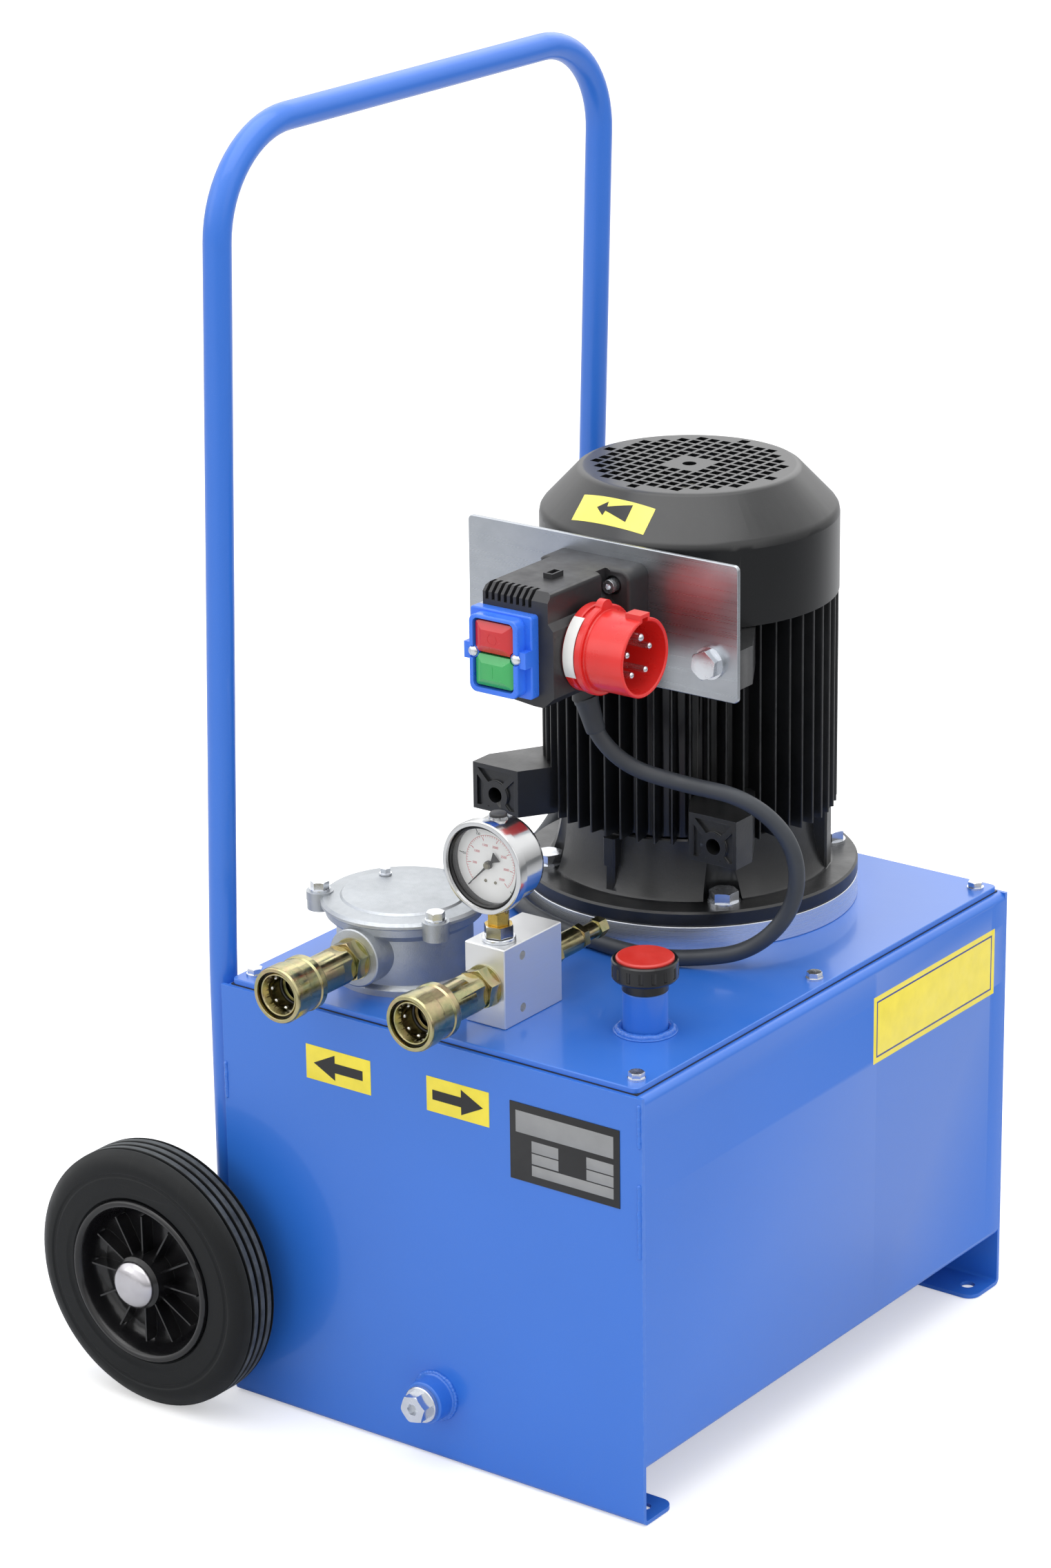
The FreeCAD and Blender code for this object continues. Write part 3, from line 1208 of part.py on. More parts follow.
def button(name, z, height, front):
    """A push key with a bevelled face and a notch beside each of the hood's screws."""
    half = d.key_width / 2
    back, bevel_start, rise = front + 5, front - 15.5, 3.5
    stem = box((d.key_width, back - bevel_start, height), (d.key_x - half, bevel_start, z))
    crown = doc.addObject("Part::Wedge", "crown")
    half_value = float(half)
    crown.Xmin, crown.Xmax, crown.X2min, crown.X2max = 7 - half_value, half_value - 7, -half_value, half_value
    crown.Zmin, crown.Zmax, crown.Z2min, crown.Z2max = 5.5, height - 5.5, 0, height
    crown.Ymin, crown.Ymax = -rise, 0
    place(crown, (d.key_x, bevel_start, z))
    limits = extruded(rectangle(-half, 0, half, height), 30, (d.key_x, back + 1, z), "-Y")
    dress(limits, "Fillet", 3, upright)
    notches = [cylinder(5.2, 40, (x, back + 5, d.key_screw_z), "-Y") for x in key_screw_places()]
    node(name + "_button", cut(common(joined(stem, crown), limits), *notches))


def inlet():
    """The appliance inlet on the case's cheek, with its five pins."""
    start = d.cheek_x
    origin = (start, d.inlet_y, d.inlet_z)
    r = d.shroud_radius
    shell = turned([
        (0, 0), (31, 0), (31.6, 0.8), (31.6, 6.2), (31, 7), (29.6, 7), (29.6, 10.4), (31.6, 10.4),
        (32.6, 11.4), (32.6, 15.6), (31.6, 16.6), (r + 0.6, 16.6), (r, 18), (r, 48.2),
        (r - 0.8, 49), (26.6, 49), (25.9, 48.2), (25.4, 14), (0, 14),
    ], origin, "+X")
    hump = common(
        cylinder(6.5, 6, (start + 10.6, d.inlet_y, d.inlet_z + 30.4), "+X"),
        box((6, 30, 20), (start + 10.6, d.inlet_y - 15, d.inlet_z + 20)),
    )
    key = box((13, 11, 5), (start + 36, d.inlet_y - 5.5, d.inlet_z + 27))
    key_slot = box((14, 6.4, 5), (start + 36, d.inlet_y - 3.2, d.inlet_z + 24.3))
    holes = []
    pins = []
    for i, (y, z) in enumerate(ring_points(float(d.pin_circle), 5, 90)):
        radius = 3 if i == 0 else 2.5
        length = 41 if i == 0 else 38.5
        holes.append(cylinder(radius + 0.02, 10, (start + 6, d.inlet_y + y, d.inlet_z + z), "+X"))
        rod = cylinder(radius, length - radius * 0.8,
                       (start + 6.1, d.inlet_y + y, d.inlet_z + z), "+X")
        tip = ellipsoid(radius * 0.8, radius,
                        (start + 6.1 + length - radius * 0.8, d.inlet_y + y, d.inlet_z + z), "+X")
        pins.append(joined(rod, tip))
    node("inlet_shroud", cut(joined(shell, hump, key), key_slot, *holes))
    node("inlet_pins", together(*pins))


# ---------------------------------------------------------------- cable


def rounded_path(points):
    """Straight runs joined by tangent arcs as large as the shorter run beside each point allows."""
    corners = [Vector(*point) for point in points]
    edges = []
    start = corners[0]
    for before, corner, after in zip(corners, corners[1:], corners[2:]):
        back, ahead = before - corner, after - corner
        reach = ARC_SHARE * min(back.Length, ahead.Length)
        turn = math.pi - back.getAngle(ahead)
        radius = reach / math.tan(turn / 2)
        print("cable radius %.1f" % radius)
        entry = corner + back.normalize() * reach
        leave = corner + ahead.normalize() * reach
        inward = (back + ahead).normalize()
        middle = corner + inward * (radius / math.cos(turn / 2) - radius)
        edges.append(Part.LineSegment(start, entry).toShape())
        edges.append(Part.Arc(entry, middle, leave).toShape())
        start = leave
    edges.append(Part.LineSegment(start, corners[-1]).toShape())
    return Part.Wire(edges)


def cable():
    path = rounded_path(CABLE_ROUTE)
    radius = float(d.cable_radius)
    tube = swept_tube(path, radius)
    ideal = math.pi * radius ** 2 * path.Length
    print("cable length %.1f, volume ratio %.4f" % (path.Length, tube.Volume / ideal))
    node("cable", plain(tube))


# ---------------------------------------------------------------- build, check and write

tank()
drain()
lid()
filler()
handle()
return_filter()
couplings()
manifold()
gauge()
motor_base()
motor_frame()
cowl()
motor_inside()
terminal_box()
pump()
starter()
inlet()
cable()
doc.recompute()

problems = []
for item in doc.Objects:
    if "Invalid" in item.State or "Error" in item.State:
        problems.append("%s (%s) is %s" % (item.Name, item.Label, item.State))
for name, item in nodes.items():
    shape = item.Shape
    if shape.isNull() or not shape.isValid() or not shape.Solids:
        problems.append("%s has no valid solid" % name)
if problems:
    raise RuntimeError("; ".join(problems))

os.makedirs("parts", exist_ok=True)
for name, item in nodes.items():
    item.Shape.exportStep("parts/%s.step" % name)
print("%d nodes written" % len(nodes))
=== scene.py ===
import json
import math

import bpy
from mathutils import Matrix, Vector

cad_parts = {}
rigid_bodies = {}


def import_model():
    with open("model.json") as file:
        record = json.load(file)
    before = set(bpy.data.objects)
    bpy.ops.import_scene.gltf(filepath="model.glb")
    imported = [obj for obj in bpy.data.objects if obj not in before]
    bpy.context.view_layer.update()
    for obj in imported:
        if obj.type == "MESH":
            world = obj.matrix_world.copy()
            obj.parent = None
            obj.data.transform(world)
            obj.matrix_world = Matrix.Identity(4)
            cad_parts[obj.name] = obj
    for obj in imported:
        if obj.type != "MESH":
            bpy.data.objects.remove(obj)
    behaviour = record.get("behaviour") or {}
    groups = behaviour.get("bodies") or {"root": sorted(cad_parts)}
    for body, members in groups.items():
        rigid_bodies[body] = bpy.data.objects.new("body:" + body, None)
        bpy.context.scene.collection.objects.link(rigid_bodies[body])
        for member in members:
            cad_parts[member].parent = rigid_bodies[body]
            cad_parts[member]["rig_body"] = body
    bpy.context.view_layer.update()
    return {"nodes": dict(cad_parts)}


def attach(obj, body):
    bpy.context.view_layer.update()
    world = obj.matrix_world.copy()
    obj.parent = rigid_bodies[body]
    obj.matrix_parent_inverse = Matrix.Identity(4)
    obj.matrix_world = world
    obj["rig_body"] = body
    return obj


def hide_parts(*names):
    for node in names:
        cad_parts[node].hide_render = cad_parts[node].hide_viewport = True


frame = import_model()
NODES = frame["nodes"]
MM = 0.001
UNIT = "power_unit"

# ------------------------------------------------------------------ modelling helpers


def clear_selection():
    if bpy.context.mode != "OBJECT":
        bpy.ops.object.mode_set(mode="OBJECT")
    bpy.ops.object.select_all(action="DESELECT")


def activate(piece):
    clear_selection()
    piece.select_set(True)
    bpy.context.view_layer.objects.active = piece


def added(name):
    """Name the primitive that was just added and return it."""
    piece = bpy.context.active_object
    piece.name = name
    piece.data.name = name
    return piece


def settle(piece):
    """Put a piece's place, turn and scale into its mesh."""
    activate(piece)
    bpy.ops.object.transform_apply(location=True, rotation=True, scale=True)


def pick_faces(piece, test):
    """Enter edit mode with only the faces selected whose centre and normal pass a test."""
    clear_selection()
    for item in (piece.data.vertices, piece.data.edges):
        item.foreach_set("select", [False] * len(item))
    for face in piece.data.polygons:
        face.select = bool(test(face.center, face.normal))
    activate(piece)
    bpy.ops.object.mode_set(mode="EDIT")
    bpy.ops.mesh.select_mode(type="FACE")


def pick_all(piece):
    """Enter edit mode with all vertices selected, also where the piece has no faces yet."""
    activate(piece)
    bpy.ops.object.mode_set(mode="EDIT")
    bpy.ops.mesh.select_mode(type="VERT")
    bpy.ops.mesh.select_all(action="SELECT")


def leave():
    bpy.ops.object.mode_set(mode="OBJECT")


def modify(piece, kind, **settings):
    """Add a modifier with its settings and apply it."""
    activate(piece)
    modifier = piece.modifiers.new(kind.lower(), kind)
    for key, value in settings.items():
        setattr(modifier, key, value)
    bpy.ops.object.modifier_apply(modifier=modifier.name)


def round_edges(piece, width, segments=2, angle=35):
    modify(piece, "BEVEL", width=width, segments=segments, limit_method="ANGLE",
           angle_limit=math.radians(angle), use_clamp_overlap=True, harden_normals=False)


def smooth(piece, angle=35):
    activate(piece)
    bpy.ops.object.shade_smooth_by_angle(angle=math.radians(angle))


def hand_over(piece, material, body=UNIT, replaced=None, angle=35):
    """Give a finished piece its look, its shading and the body that it rides on."""
    smooth(piece, angle)
    piece.data.materials.clear()
    piece.data.materials.append(material)
    if replaced:
        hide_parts(replaced)
    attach(piece, body)
    return piece


def repaint(piece, material, test):
    """Give another material to the faces whose centre and normal pass a test."""
    if material.name not in piece.data.materials:
        piece.data.materials.append(material)
    index = piece.data.materials.find(material.name)
    for face in piece.data.polygons:
        if test(face.center, face.normal):
            face.material_index = index


def even_normals(piece):
    """Weight the normals by face size, so that big flat faces stay flat up to their round edges."""
    modify(piece, "WEIGHTED_NORMAL", keep_sharp=True, weight=80)


def join(name, pieces):
    clear_selection()
    for piece in pieces:
        piece.select_set(True)
    bpy.context.view_layer.objects.active = pieces[0]
    bpy.ops.object.join()
    return added(name)


def mm(x, y, z):
    """A place given in millimetres."""
    return Vector((x, y, z)) * MM


def aimed(direction):
    """Euler angles that point a primitive's +Z along a direction."""
    return Vector(direction).to_track_quat("Z", "Y").to_euler()


def disc(name, centre, radius, depth, direction, vertices, bevel):
    """A round plate about a centre, with its radius, depth and bevel in millimetres."""
    bpy.ops.mesh.primitive_cylinder_add(vertices=vertices, radius=radius * MM, depth=depth * MM,
                                        location=centre, rotation=aimed(direction))
    piece = added(name)
    settle(piece)
    round_edges(piece, bevel * MM)
    return piece


def slab(name, low, high, bevel=0.0):
    """A block between two corners in millimetres, with rounded edges if asked."""
    low = [value * MM for value in low]
    high = [value * MM for value in high]
    bpy.ops.mesh.primitive_cube_add(size=1, location=[(a + b) / 2 for a, b in zip(low, high)])
    piece = added(name)
    piece.scale = [b - a for a, b in zip(low, high)]
    settle(piece)
    if bevel:
        round_edges(piece, bevel * MM)
    return piece


def spun(name, points, centre, direction=(0, 0, 1), steps=48):
    """A ring or knob: a closed profile of (radius, height) in millimetres, spun about a centre."""
    bpy.ops.mesh.primitive_plane_add(size=MM)
    piece = added(name)
    pick_all(piece)
    bpy.ops.mesh.merge(type="CENTER")
    corners = [Vector((radius * MM, 0, height * MM)) for radius, height in points]
    bpy.ops.transform.translate(value=corners[0])
    for start, end in zip(corners, corners[1:]):
        bpy.ops.mesh.extrude_region_move(TRANSFORM_OT_translate={"value": end - start})
    bpy.ops.mesh.select_all(action="SELECT")
    bpy.ops.mesh.edge_face_add()
    bpy.ops.mesh.delete(type="ONLY_FACE")
    bpy.ops.mesh.select_all(action="SELECT")
    bpy.ops.mesh.spin(steps=steps, angle=math.tau, center=(0, 0, 0), axis=(0, 0, 1))
    bpy.ops.mesh.select_all(action="SELECT")
    bpy.ops.mesh.remove_doubles(threshold=1e-6)
    bpy.ops.mesh.normals_make_consistent(inside=False)
    leave()
    piece.location = centre
    piece.rotation_euler = aimed(direction)
    settle(piece)
    return piece


def around(piece, centre, axis, count):
    """Copies of a piece turned about an axis through a centre; the piece is the first of them."""
    made = [piece]
    for i in range(1, count):
        other = piece.copy()
        other.data = piece.data.copy()
        bpy.context.scene.collection.objects.link(other)
        turn = Matrix.Rotation(math.tau / count * i, 4, Vector(axis))
        other.matrix_world = Matrix.Translation(centre) @ turn @ Matrix.Translation(-Vector(centre))
        settle(other)
        made.append(other)
    return made


# ------------------------------------------------------------------ shared shader groups


def new_group(name, inputs, outputs):
    """An empty shader group with named sockets; inputs are (name, kind, default)."""
    group = bpy.data.node_groups.new(name, "ShaderNodeTree")
    for label, kind, default in inputs:
        socket = group.interface.new_socket(label, in_out="INPUT", socket_type="NodeSocket" + kind)
        if default is not None:
            socket.default_value = default
    for label, kind in outputs:
        group.interface.new_socket(label, in_out="OUTPUT", socket_type="NodeSocket" + kind)
    return Tree(group)


class Tree:
    """A node tree with short calls for adding and linking nodes."""

    def __init__(self, tree):
        self.tree = tree

    def node(self, kind, settings=None, **inputs):
        made = self.tree.nodes.new("ShaderNode" + kind)
        for key, value in (settings or {}).items():
            setattr(made, key, value)
        for label, value in inputs.items():
            self.feed(made.inputs[label.replace("_", " ")], value)
        return made

    def feed(self, socket, value):
        if isinstance(value, bpy.types.NodeSocket):
            self.tree.links.new(value, socket)
        else:
            socket.default_value = value

    def math(self, operation, first, second=0.0, clamp=False):
        made = self.tree.nodes.new("ShaderNodeMath")
        made.operation = operation
        made.use_clamp = clamp
        self.feed(made.inputs[0], first)
        self.feed(made.inputs[1], second)
        return made.outputs[0]

    def span(self, value, low, high, to_low=0.0, to_high=1.0):
        """Map a value's range low..high to another, clamped."""
        made = self.node("MapRange", {"clamp": True}, Value=value, From_Min=low, From_Max=high,
                         To_Min=to_low, To_Max=to_high)
        return made.outputs["Result"]

    def mix(self, factor, first, second, blend="MIX"):
        made = self.tree.nodes.new("ShaderNodeMix")
        made.data_type = "RGBA"
        made.blend_type = blend
        made.clamp_factor = True
        self.feed(made.inputs["Factor"], factor)
        colours = [socket for socket in made.inputs if socket.type == "RGBA"]
        self.feed(colours[0], first)
        self.feed(colours[1], second)
        return next(socket for socket in made.outputs if socket.type == "RGBA")

    def noise(self, vector, scale, detail=4.0, roughness=0.55, distortion=0.0):
        made = self.node("TexNoise", Vector=vector, Scale=scale, Detail=detail,
                         Roughness=roughness, Distortion=distortion)
        return made.outputs["Fac"]

    def stretched(self, vector, scale):
        made = self.node("Mapping", Vector=vector)
        made.inputs["Scale"].default_value = scale
        return made.outputs["Vector"]

    def group_ends(self):
        """The sockets that a group takes in and the ones that it puts out."""
        return (self.tree.nodes.new("NodeGroupInput").outputs,
                self.tree.nodes.new("NodeGroupOutput").inputs)

    def place(self, group, **inputs):
        """Place a shared group and return its outputs."""
        made = self.tree.nodes.new("ShaderNodeGroup")
        made.node_tree = group
        for label, value in inputs.items():
            self.feed(made.inputs[label.replace("_", " ")], value)
        return made.outputs


def colour(red, green, blue):
    """A linear colour with alpha from 0..255 display values."""
    def linear(value):
        value /= 255
        return value / 12.92 if value <= 0.04045 else ((value + 0.055) / 1.055) ** 2.4
    return (linear(red), linear(green), linear(blue), 1.0)


def drift_group():
    """Slow change of a colour's lightness over a surface."""
    t = new_group("colour drift", [("Vector", "Vector", None), ("Color", "Color", (1, 1, 1, 1)),
                                   ("Scale", "Float", 6.0), ("Amount", "Float", 0.1)],
                  [("Color", "Color")])
    given, out = t.group_ends()
    cloud = t.noise(given["Vector"], given["Scale"], 3.0)
    shift = t.span(cloud, 0.3, 0.7, -1.0, 1.0)
    value = t.math("ADD", t.math("MULTIPLY", shift, given["Amount"]), 1.0)
    shade = t.node("HueSaturation", Color=given["Color"], Value=value)
    t.feed(out["Color"], shade.outputs["Color"])
    return t.tree


def rubbed_and_highlighted_edge_group():
    """Mask along convex edges, broken up by noise: a rubbed finish on some materials, a painted edge
    highlight on others.
    """
    t = new_group("edge wear", [("Vector", "Vector", None), ("Radius", "Float", 0.0012),
                                ("Scale", "Float", 180.0), ("Amount", "Float", 0.6)],
                  [("Mask", "Float")])
    given, out = t.group_ends()
    bevel = t.node("Bevel", {"samples": 4}, Radius=given["Radius"])
    plain = t.node("NewGeometry")
    dot = t.node("VectorMath", {"operation": "DOT_PRODUCT"})
    t.feed(dot.inputs[0], bevel.outputs["Normal"])
    t.feed(dot.inputs[1], plain.outputs["Normal"])
    edge = t.span(dot.outputs["Value"], 0.99, 0.86)
    broken = t.span(t.noise(given["Vector"], given["Scale"], 5.0), 0.4, 0.62)
    t.feed(out["Mask"], t.math("MULTIPLY", t.math("MULTIPLY", edge, broken), given["Amount"]))
    return t.tree


def dust_group():
    """Mask of dust that settles on surfaces that face up."""
    t = new_group("settled dust", [("Vector", "Vector", None), ("Scale", "Float", 14.0),
                                   ("Amount", "Float", 0.4)], [("Mask", "Float")])
    given, out = t.group_ends()
    plain = t.node("NewGeometry")
    parts = t.node("SeparateXYZ", Vector=plain.outputs["Normal"])
    up = t.span(parts.outputs["Z"], 0.1, 0.95)
    patches = t.span(t.noise(given["Vector"], given["Scale"], 6.0, 0.65), 0.35, 0.75)
    specks = t.span(t.noise(given["Vector"], 900.0, 2.0), 0.58, 0.72)
    layer = t.math("ADD", t.math("MULTIPLY", patches, up), t.math("MULTIPLY", specks, 0.35))
    t.feed(out["Mask"], t.math("MULTIPLY", layer, given["Amount"], clamp=True))
    return t.tree


def scratch_group():
    """Fine straight scratches in two directions, as a mask."""
    t = new_group("hairline scratches", [("Vector", "Vector", None), ("Amount", "Float", 0.5)],
                  [("Mask", "Float")])
    given, out = t.group_ends()
    layers = []
    for turn, scale in ((0.5, (900, 14, 14)), (2.1, (12, 800, 16)), (1.2, (15, 15, 700))):
        made = t.node("Mapping", Vector=given["Vector"])
        made.inputs["Rotation"].default_value = (turn, turn * 0.7, turn * 1.3)
        made.inputs["Scale"].default_value = scale
        layers.append(t.span(t.noise(made.outputs["Vector"], 1.0, 2.0), 0.69, 0.73))
    total = t.math("ADD", t.math("ADD", layers[0], layers[1]), layers[2], clamp=True)
    t.feed(out["Mask"], t.math("MULTIPLY", total, given["Amount"]))
    return t.tree


def relief_group():
    """A bumped normal from noise at a set scale."""
    t = new_group("surface relief", [("Vector", "Vector", None), ("Scale", "Float", 400.0),
                                     ("Detail", "Float", 4.0), ("Strength", "Float", 0.2),
                                     ("Distance", "Float", 0.0002)], [("Normal", "Vector")])
    given, out = t.group_ends()
    height = t.noise(given["Vector"], given["Scale"], given["Detail"])
    bump = t.node("Bump", Strength=given["Strength"], Distance=given["Distance"], Height=height)
    t.feed(out["Normal"], bump.outputs["Normal"])
    return t.tree


DRIFT = drift_group()
RUBBED_AND_HIGHLIGHTED_EDGES = rubbed_and_highlighted_edge_group()
DUST = dust_group()
SCRATCHES = scratch_group()
RELIEF = relief_group()


# ------------------------------------------------------------------ materials


class Finish(Tree):
    """A material: a Principled shader, object coordinates and a colour built up in layers."""

    def __init__(self, name, base, roughness, metallic=0.0, **sockets):
        self.material = bpy.data.materials.new(name)
        self.material.use_nodes = True
        super().__init__(self.material.node_tree)
        self.shader = self.tree.nodes["Principled BSDF"]
        self.shader.inputs["Base Color"].default_value = base
        self.shader.inputs["Roughness"].default_value = roughness
        self.shader.inputs["Metallic"].default_value = metallic
        for label, value in sockets.items():
            self.shader.inputs[label.replace("_", " ")].default_value = value
        self.at = self.tree.nodes.new("ShaderNodeTexCoord").outputs["Object"]
        self.colour = base
        self.roughness = roughness
        self.normal = None

    def drift(self, amount, scale=6.0):
        self.colour = self.place(DRIFT, Vector=self.at, Color=self.colour, Scale=scale,
                                 Amount=amount)["Color"]

    def cover(self, mask, over, rough=None):
        """Lay another colour, and if given another roughness, over the finish by a mask."""
        self.colour = self.mix(mask, self.colour, over)
        if rough is not None:
            blend = self.node("Mix", {"data_type": "FLOAT"})
            floats = [socket for socket in blend.inputs if socket.type == "VALUE"]
            self.feed(floats[0], mask)
            self.feed(floats[1], self.roughness)
            self.feed(floats[2], rough)
            self.roughness = next(s for s in blend.outputs if s.type == "VALUE")

    # Lays a colour along convex edges: a rubbed finish on most materials, a painted edge highlight on
    # the blue enamel.
    def wear_and_highlight(self, over, amount=0.6, radius=0.0012, rough=0.4, scale=180.0):
        mask = self.place(RUBBED_AND_HIGHLIGHTED_EDGES, Vector=self.at, Radius=radius, Scale=scale, Amount=amount)["Mask"]
        self.cover(mask, over, rough)

    def dust(self, over, amount=0.35, rough=0.75, scale=14.0):
        mask = self.place(DUST, Vector=self.at, Scale=scale, Amount=amount)["Mask"]
        self.cover(mask, over, rough)

    def scratch(self, over, amount=0.4, rough=0.5):
        mask = self.place(SCRATCHES, Vector=self.at, Amount=amount)["Mask"]
        self.cover(mask, over, rough)

    def uneven(self, low, high, scale=30.0, detail=5.0, vector=None):
        """Let the roughness wander between two values."""
        value = self.noise(vector or self.at, scale, detail)
        self.roughness = self.span(value, 0.3, 0.7, low, high)

    def relief(self, scale, strength=0.2, distance=0.0002, detail=4.0, vector=None):
        self.normal = self.place(RELIEF, Vector=vector or self.at, Scale=scale, Detail=detail,
                                 Strength=strength, Distance=distance)["Normal"]

    def done(self):
        for label, value in (("Base Color", self.colour), ("Roughness", self.roughness),
                             ("Normal", self.normal)):
            if isinstance(value, bpy.types.NodeSocket):
                self.feed(self.shader.inputs[label], value)
        return self.material


def blue_enamel(name="blue enamel", bumps=0.06):
    f = Finish(name, colour(44, 110, 208), 0.36, Coat_Weight=0.35, Coat_Roughness=0.1)
    f.drift(0.035, 4.0)
    # Lighter blue along the convex edges is a painted edge highlight.
    f.wear_and_highlight(colour(120, 165, 228), 0.3, 0.0014)
    f.dust(colour(165, 190, 220), 0.06)
    f.relief(170.0, bumps, 0.0003, 2.0)
    return f.done()


def black_enamel():
    f = Finish("black motor enamel", colour(17, 18, 20), 0.38, Coat_Weight=0.25, Coat_Roughness=0.2)
    f.drift(0.25, 9.0)
    f.uneven(0.32, 0.5, 40.0)
    f.wear_and_highlight(colour(86, 88, 90), 0.4, 0.0009)
    f.dust(colour(110, 110, 108), 0.07)
    f.relief(520.0, 0.25, 0.0003, 6.0)
    return f.done()


def cowl_enamel():
    f = Finish("black cowl enamel", colour(13, 14, 16), 0.34, Coat_Weight=0.2, Coat_Roughness=0.2)
    f.drift(0.12, 7.0)
    f.wear_and_highlight(colour(105, 107, 110), 0.3, 0.0008)
    f.dust(colour(125, 125, 124), 0.06)
    f.relief(700.0, 0.12, 0.0002, 3.0)
    return f.done()


def bright_zinc():
    f = Finish("bright zinc plating", colour(216, 219, 224), 0.24, 0.95)
    f.drift(0.08, 60.0)
    f.uneven(0.14, 0.32, 120.0)
    f.relief(900.0, 0.1, 0.0001)
    return f.done()


def zinc_sheet():
    f = Finish("galvanised sheet", colour(178, 182, 187), 0.3, 0.95)
    clouds = f.noise(f.at, 42.0, 6.0, 0.6, 0.8)
    f.cover(f.span(clouds, 0.36, 0.64, 0.0, 0.4), colour(158, 163, 169))
    rolled = f.stretched(f.at, (6.0, 40.0, 1400.0))
    f.uneven(0.26, 0.34, 1.0, 3.0, rolled)
    return f.done()


def yellow_zinc():
    f = Finish("yellow chromate zinc", colour(172, 164, 124), 0.2, 1.0)
    clouds = f.noise(f.at, 70.0, 3.0, 0.5, 0.8)
    f.cover(f.span(clouds, 0.5, 0.68, 0.0, 0.55), colour(188, 158, 132))
    f.cover(f.span(clouds, 0.46, 0.32, 0.0, 0.7), colour(140, 150, 112))
    f.drift(0.1, 160.0)
    f.wear_and_highlight(colour(226, 220, 200), 0.4, 0.0006)
    f.uneven(0.12, 0.28, 140.0)
    return f.done()


def cast_alloy():
    f = Finish("sand cast alloy", colour(176, 180, 184), 0.42, 0.85)
    f.drift(0.08, 40.0)
    f.uneven(0.34, 0.52, 200.0)
    f.wear_and_highlight(colour(226, 228, 230), 0.45, 0.0009, 0.3)
    f.relief(900.0, 0.5, 0.0005, 6.0)
    return f.done()


def milled_alloy():
    f = Finish("milled alloy", colour(222, 223, 224), 0.36, 0.8)
    lines = f.stretched(f.at, (60.0, 60.0, 2200.0))
    f.uneven(0.28, 0.46, 1.0, 3.0, lines)
    f.relief(1.0, 0.12, 0.0001, 3.0, lines)
    f.wear_and_highlight(colour(236, 236, 236), 0.5, 0.0006, 0.25)
    return f.done()


def turned_alloy():
    f = Finish("turned alloy", colour(226, 229, 233), 0.32, 0.85)
    lines = f.stretched(f.at, (4.0, 4.0, 4200.0))
    f.uneven(0.2, 0.42, 1.0, 2.0, lines)
    f.relief(1.0, 0.3, 0.0001, 2.0, lines)
    return f.done()


def tyre_rubber():
    f = Finish("tyre rubber", colour(14, 16, 18), 0.46, Specular_IOR_Level=0.22)
    f.drift(0.15, 12.0)
    f.uneven(0.36, 0.52, 24.0)
    # Road dust lies on the tread, whose faces look away from the axle.
    tread = f.node("SeparateXYZ", Vector=f.node("NewGeometry").outputs["Normal"])
    sideways = f.math("ABSOLUTE", tread.outputs["Y"])
    patches = f.span(f.noise(f.at, 60.0, 6.0, 0.7), 0.3, 0.6, 0.25, 0.85)
    f.cover(f.math("MULTIPLY", f.span(sideways, 0.75, 0.1), patches), colour(92, 96, 98), 0.8)
    f.dust(colour(92, 92, 88), 0.06)
    f.scratch(colour(62, 63, 64), 0.15, 0.7)
    f.relief(850.0, 0.15, 0.0003, 5.0)
    return f.done()


def black_plastic(name="black moulded plastic", shade=38, rough=0.42, grain=0.16):
    f = Finish(name, colour(shade, shade, shade + 2), rough)
    f.drift(0.1, 20.0)
    f.uneven(rough * 0.85, rough * 1.25, 90.0)
    f.wear_and_highlight(colour(84, 85, 87), 0.25, 0.0006)
    f.dust(colour(110, 110, 108), 0.04)
    f.relief(2400.0, grain, 0.0001, 2.0)
    return f.done()


def gloss_plastic(name, base, rough=0.24, subsurface=0.06):
    f = Finish(name, base, rough, Subsurface_Weight=subsurface, Subsurface_Scale=0.004,
               Coat_Weight=0.2)
    f.drift(0.05, 25.0)
    f.uneven(rough * 0.8, rough * 1.4, 60.0)
    f.dust(colour(215, 205, 200), 0.04)
    f.relief(420.0, 0.04, 0.0002, 2.0)
    return f.done()


def cable_rubber():
    f = Finish("cable rubber", colour(52, 56, 62), 0.46, Specular_IOR_Level=0.45)
    f.drift(0.1, 30.0)
    f.uneven(0.4, 0.56, 80.0)
    f.relief(1800.0, 0.12, 0.0001, 3.0)
    return f.done()


def polished_steel():
    f = Finish("polished steel", colour(206, 207, 208), 0.12, 1.0)
    f.uneven(0.1, 0.2, 90.0)
    f.scratch(colour(230, 230, 230), 0.12, 0.3)
    return f.done()


def cap_steel():
    f = Finish("pressed cap steel", colour(186, 184, 188), 0.18, 1.0)
    f.drift(0.08, 60.0)
    f.uneven(0.14, 0.26, 110.0)
    return f.done()


def plain_print(name, base, rough=0.5, **sockets):
    """Ink or thin plate: a lightly uneven flat finish."""
    f = Finish(name, base, rough, **sockets)
    f.drift(0.05, 70.0)
    f.uneven(rough * 0.85, rough * 1.2, 150.0)
    return f.done()


def brushed_field():
    f = Finish("silver label field", colour(150, 151, 152), 0.36, 0.6)
    lines = f.stretched(f.at, (30.0, 30.0, 2400.0))
    f.uneven(0.3, 0.46, 1.0, 3.0, lines)
    f.drift(0.06, 50.0)
    return f.done()


def dark_steel():
    f = Finish("dark machined steel", colour(128, 124, 108), 0.3, 1.0)
    f.drift(0.15, 80.0)
    f.uneven(0.22, 0.4, 160.0)
    return f.done()


def brass():
    f = Finish("brass", colour(188, 160, 84), 0.24, 1.0)
    f.drift(0.12, 90.0)
    f.uneven(0.18, 0.36, 150.0)
    return f.done()


def clear_glass():
    f = Finish("gauge glass", (1, 1, 1, 1), 0.02, Transmission_Weight=1.0, IOR=1.45)
    return f.done()


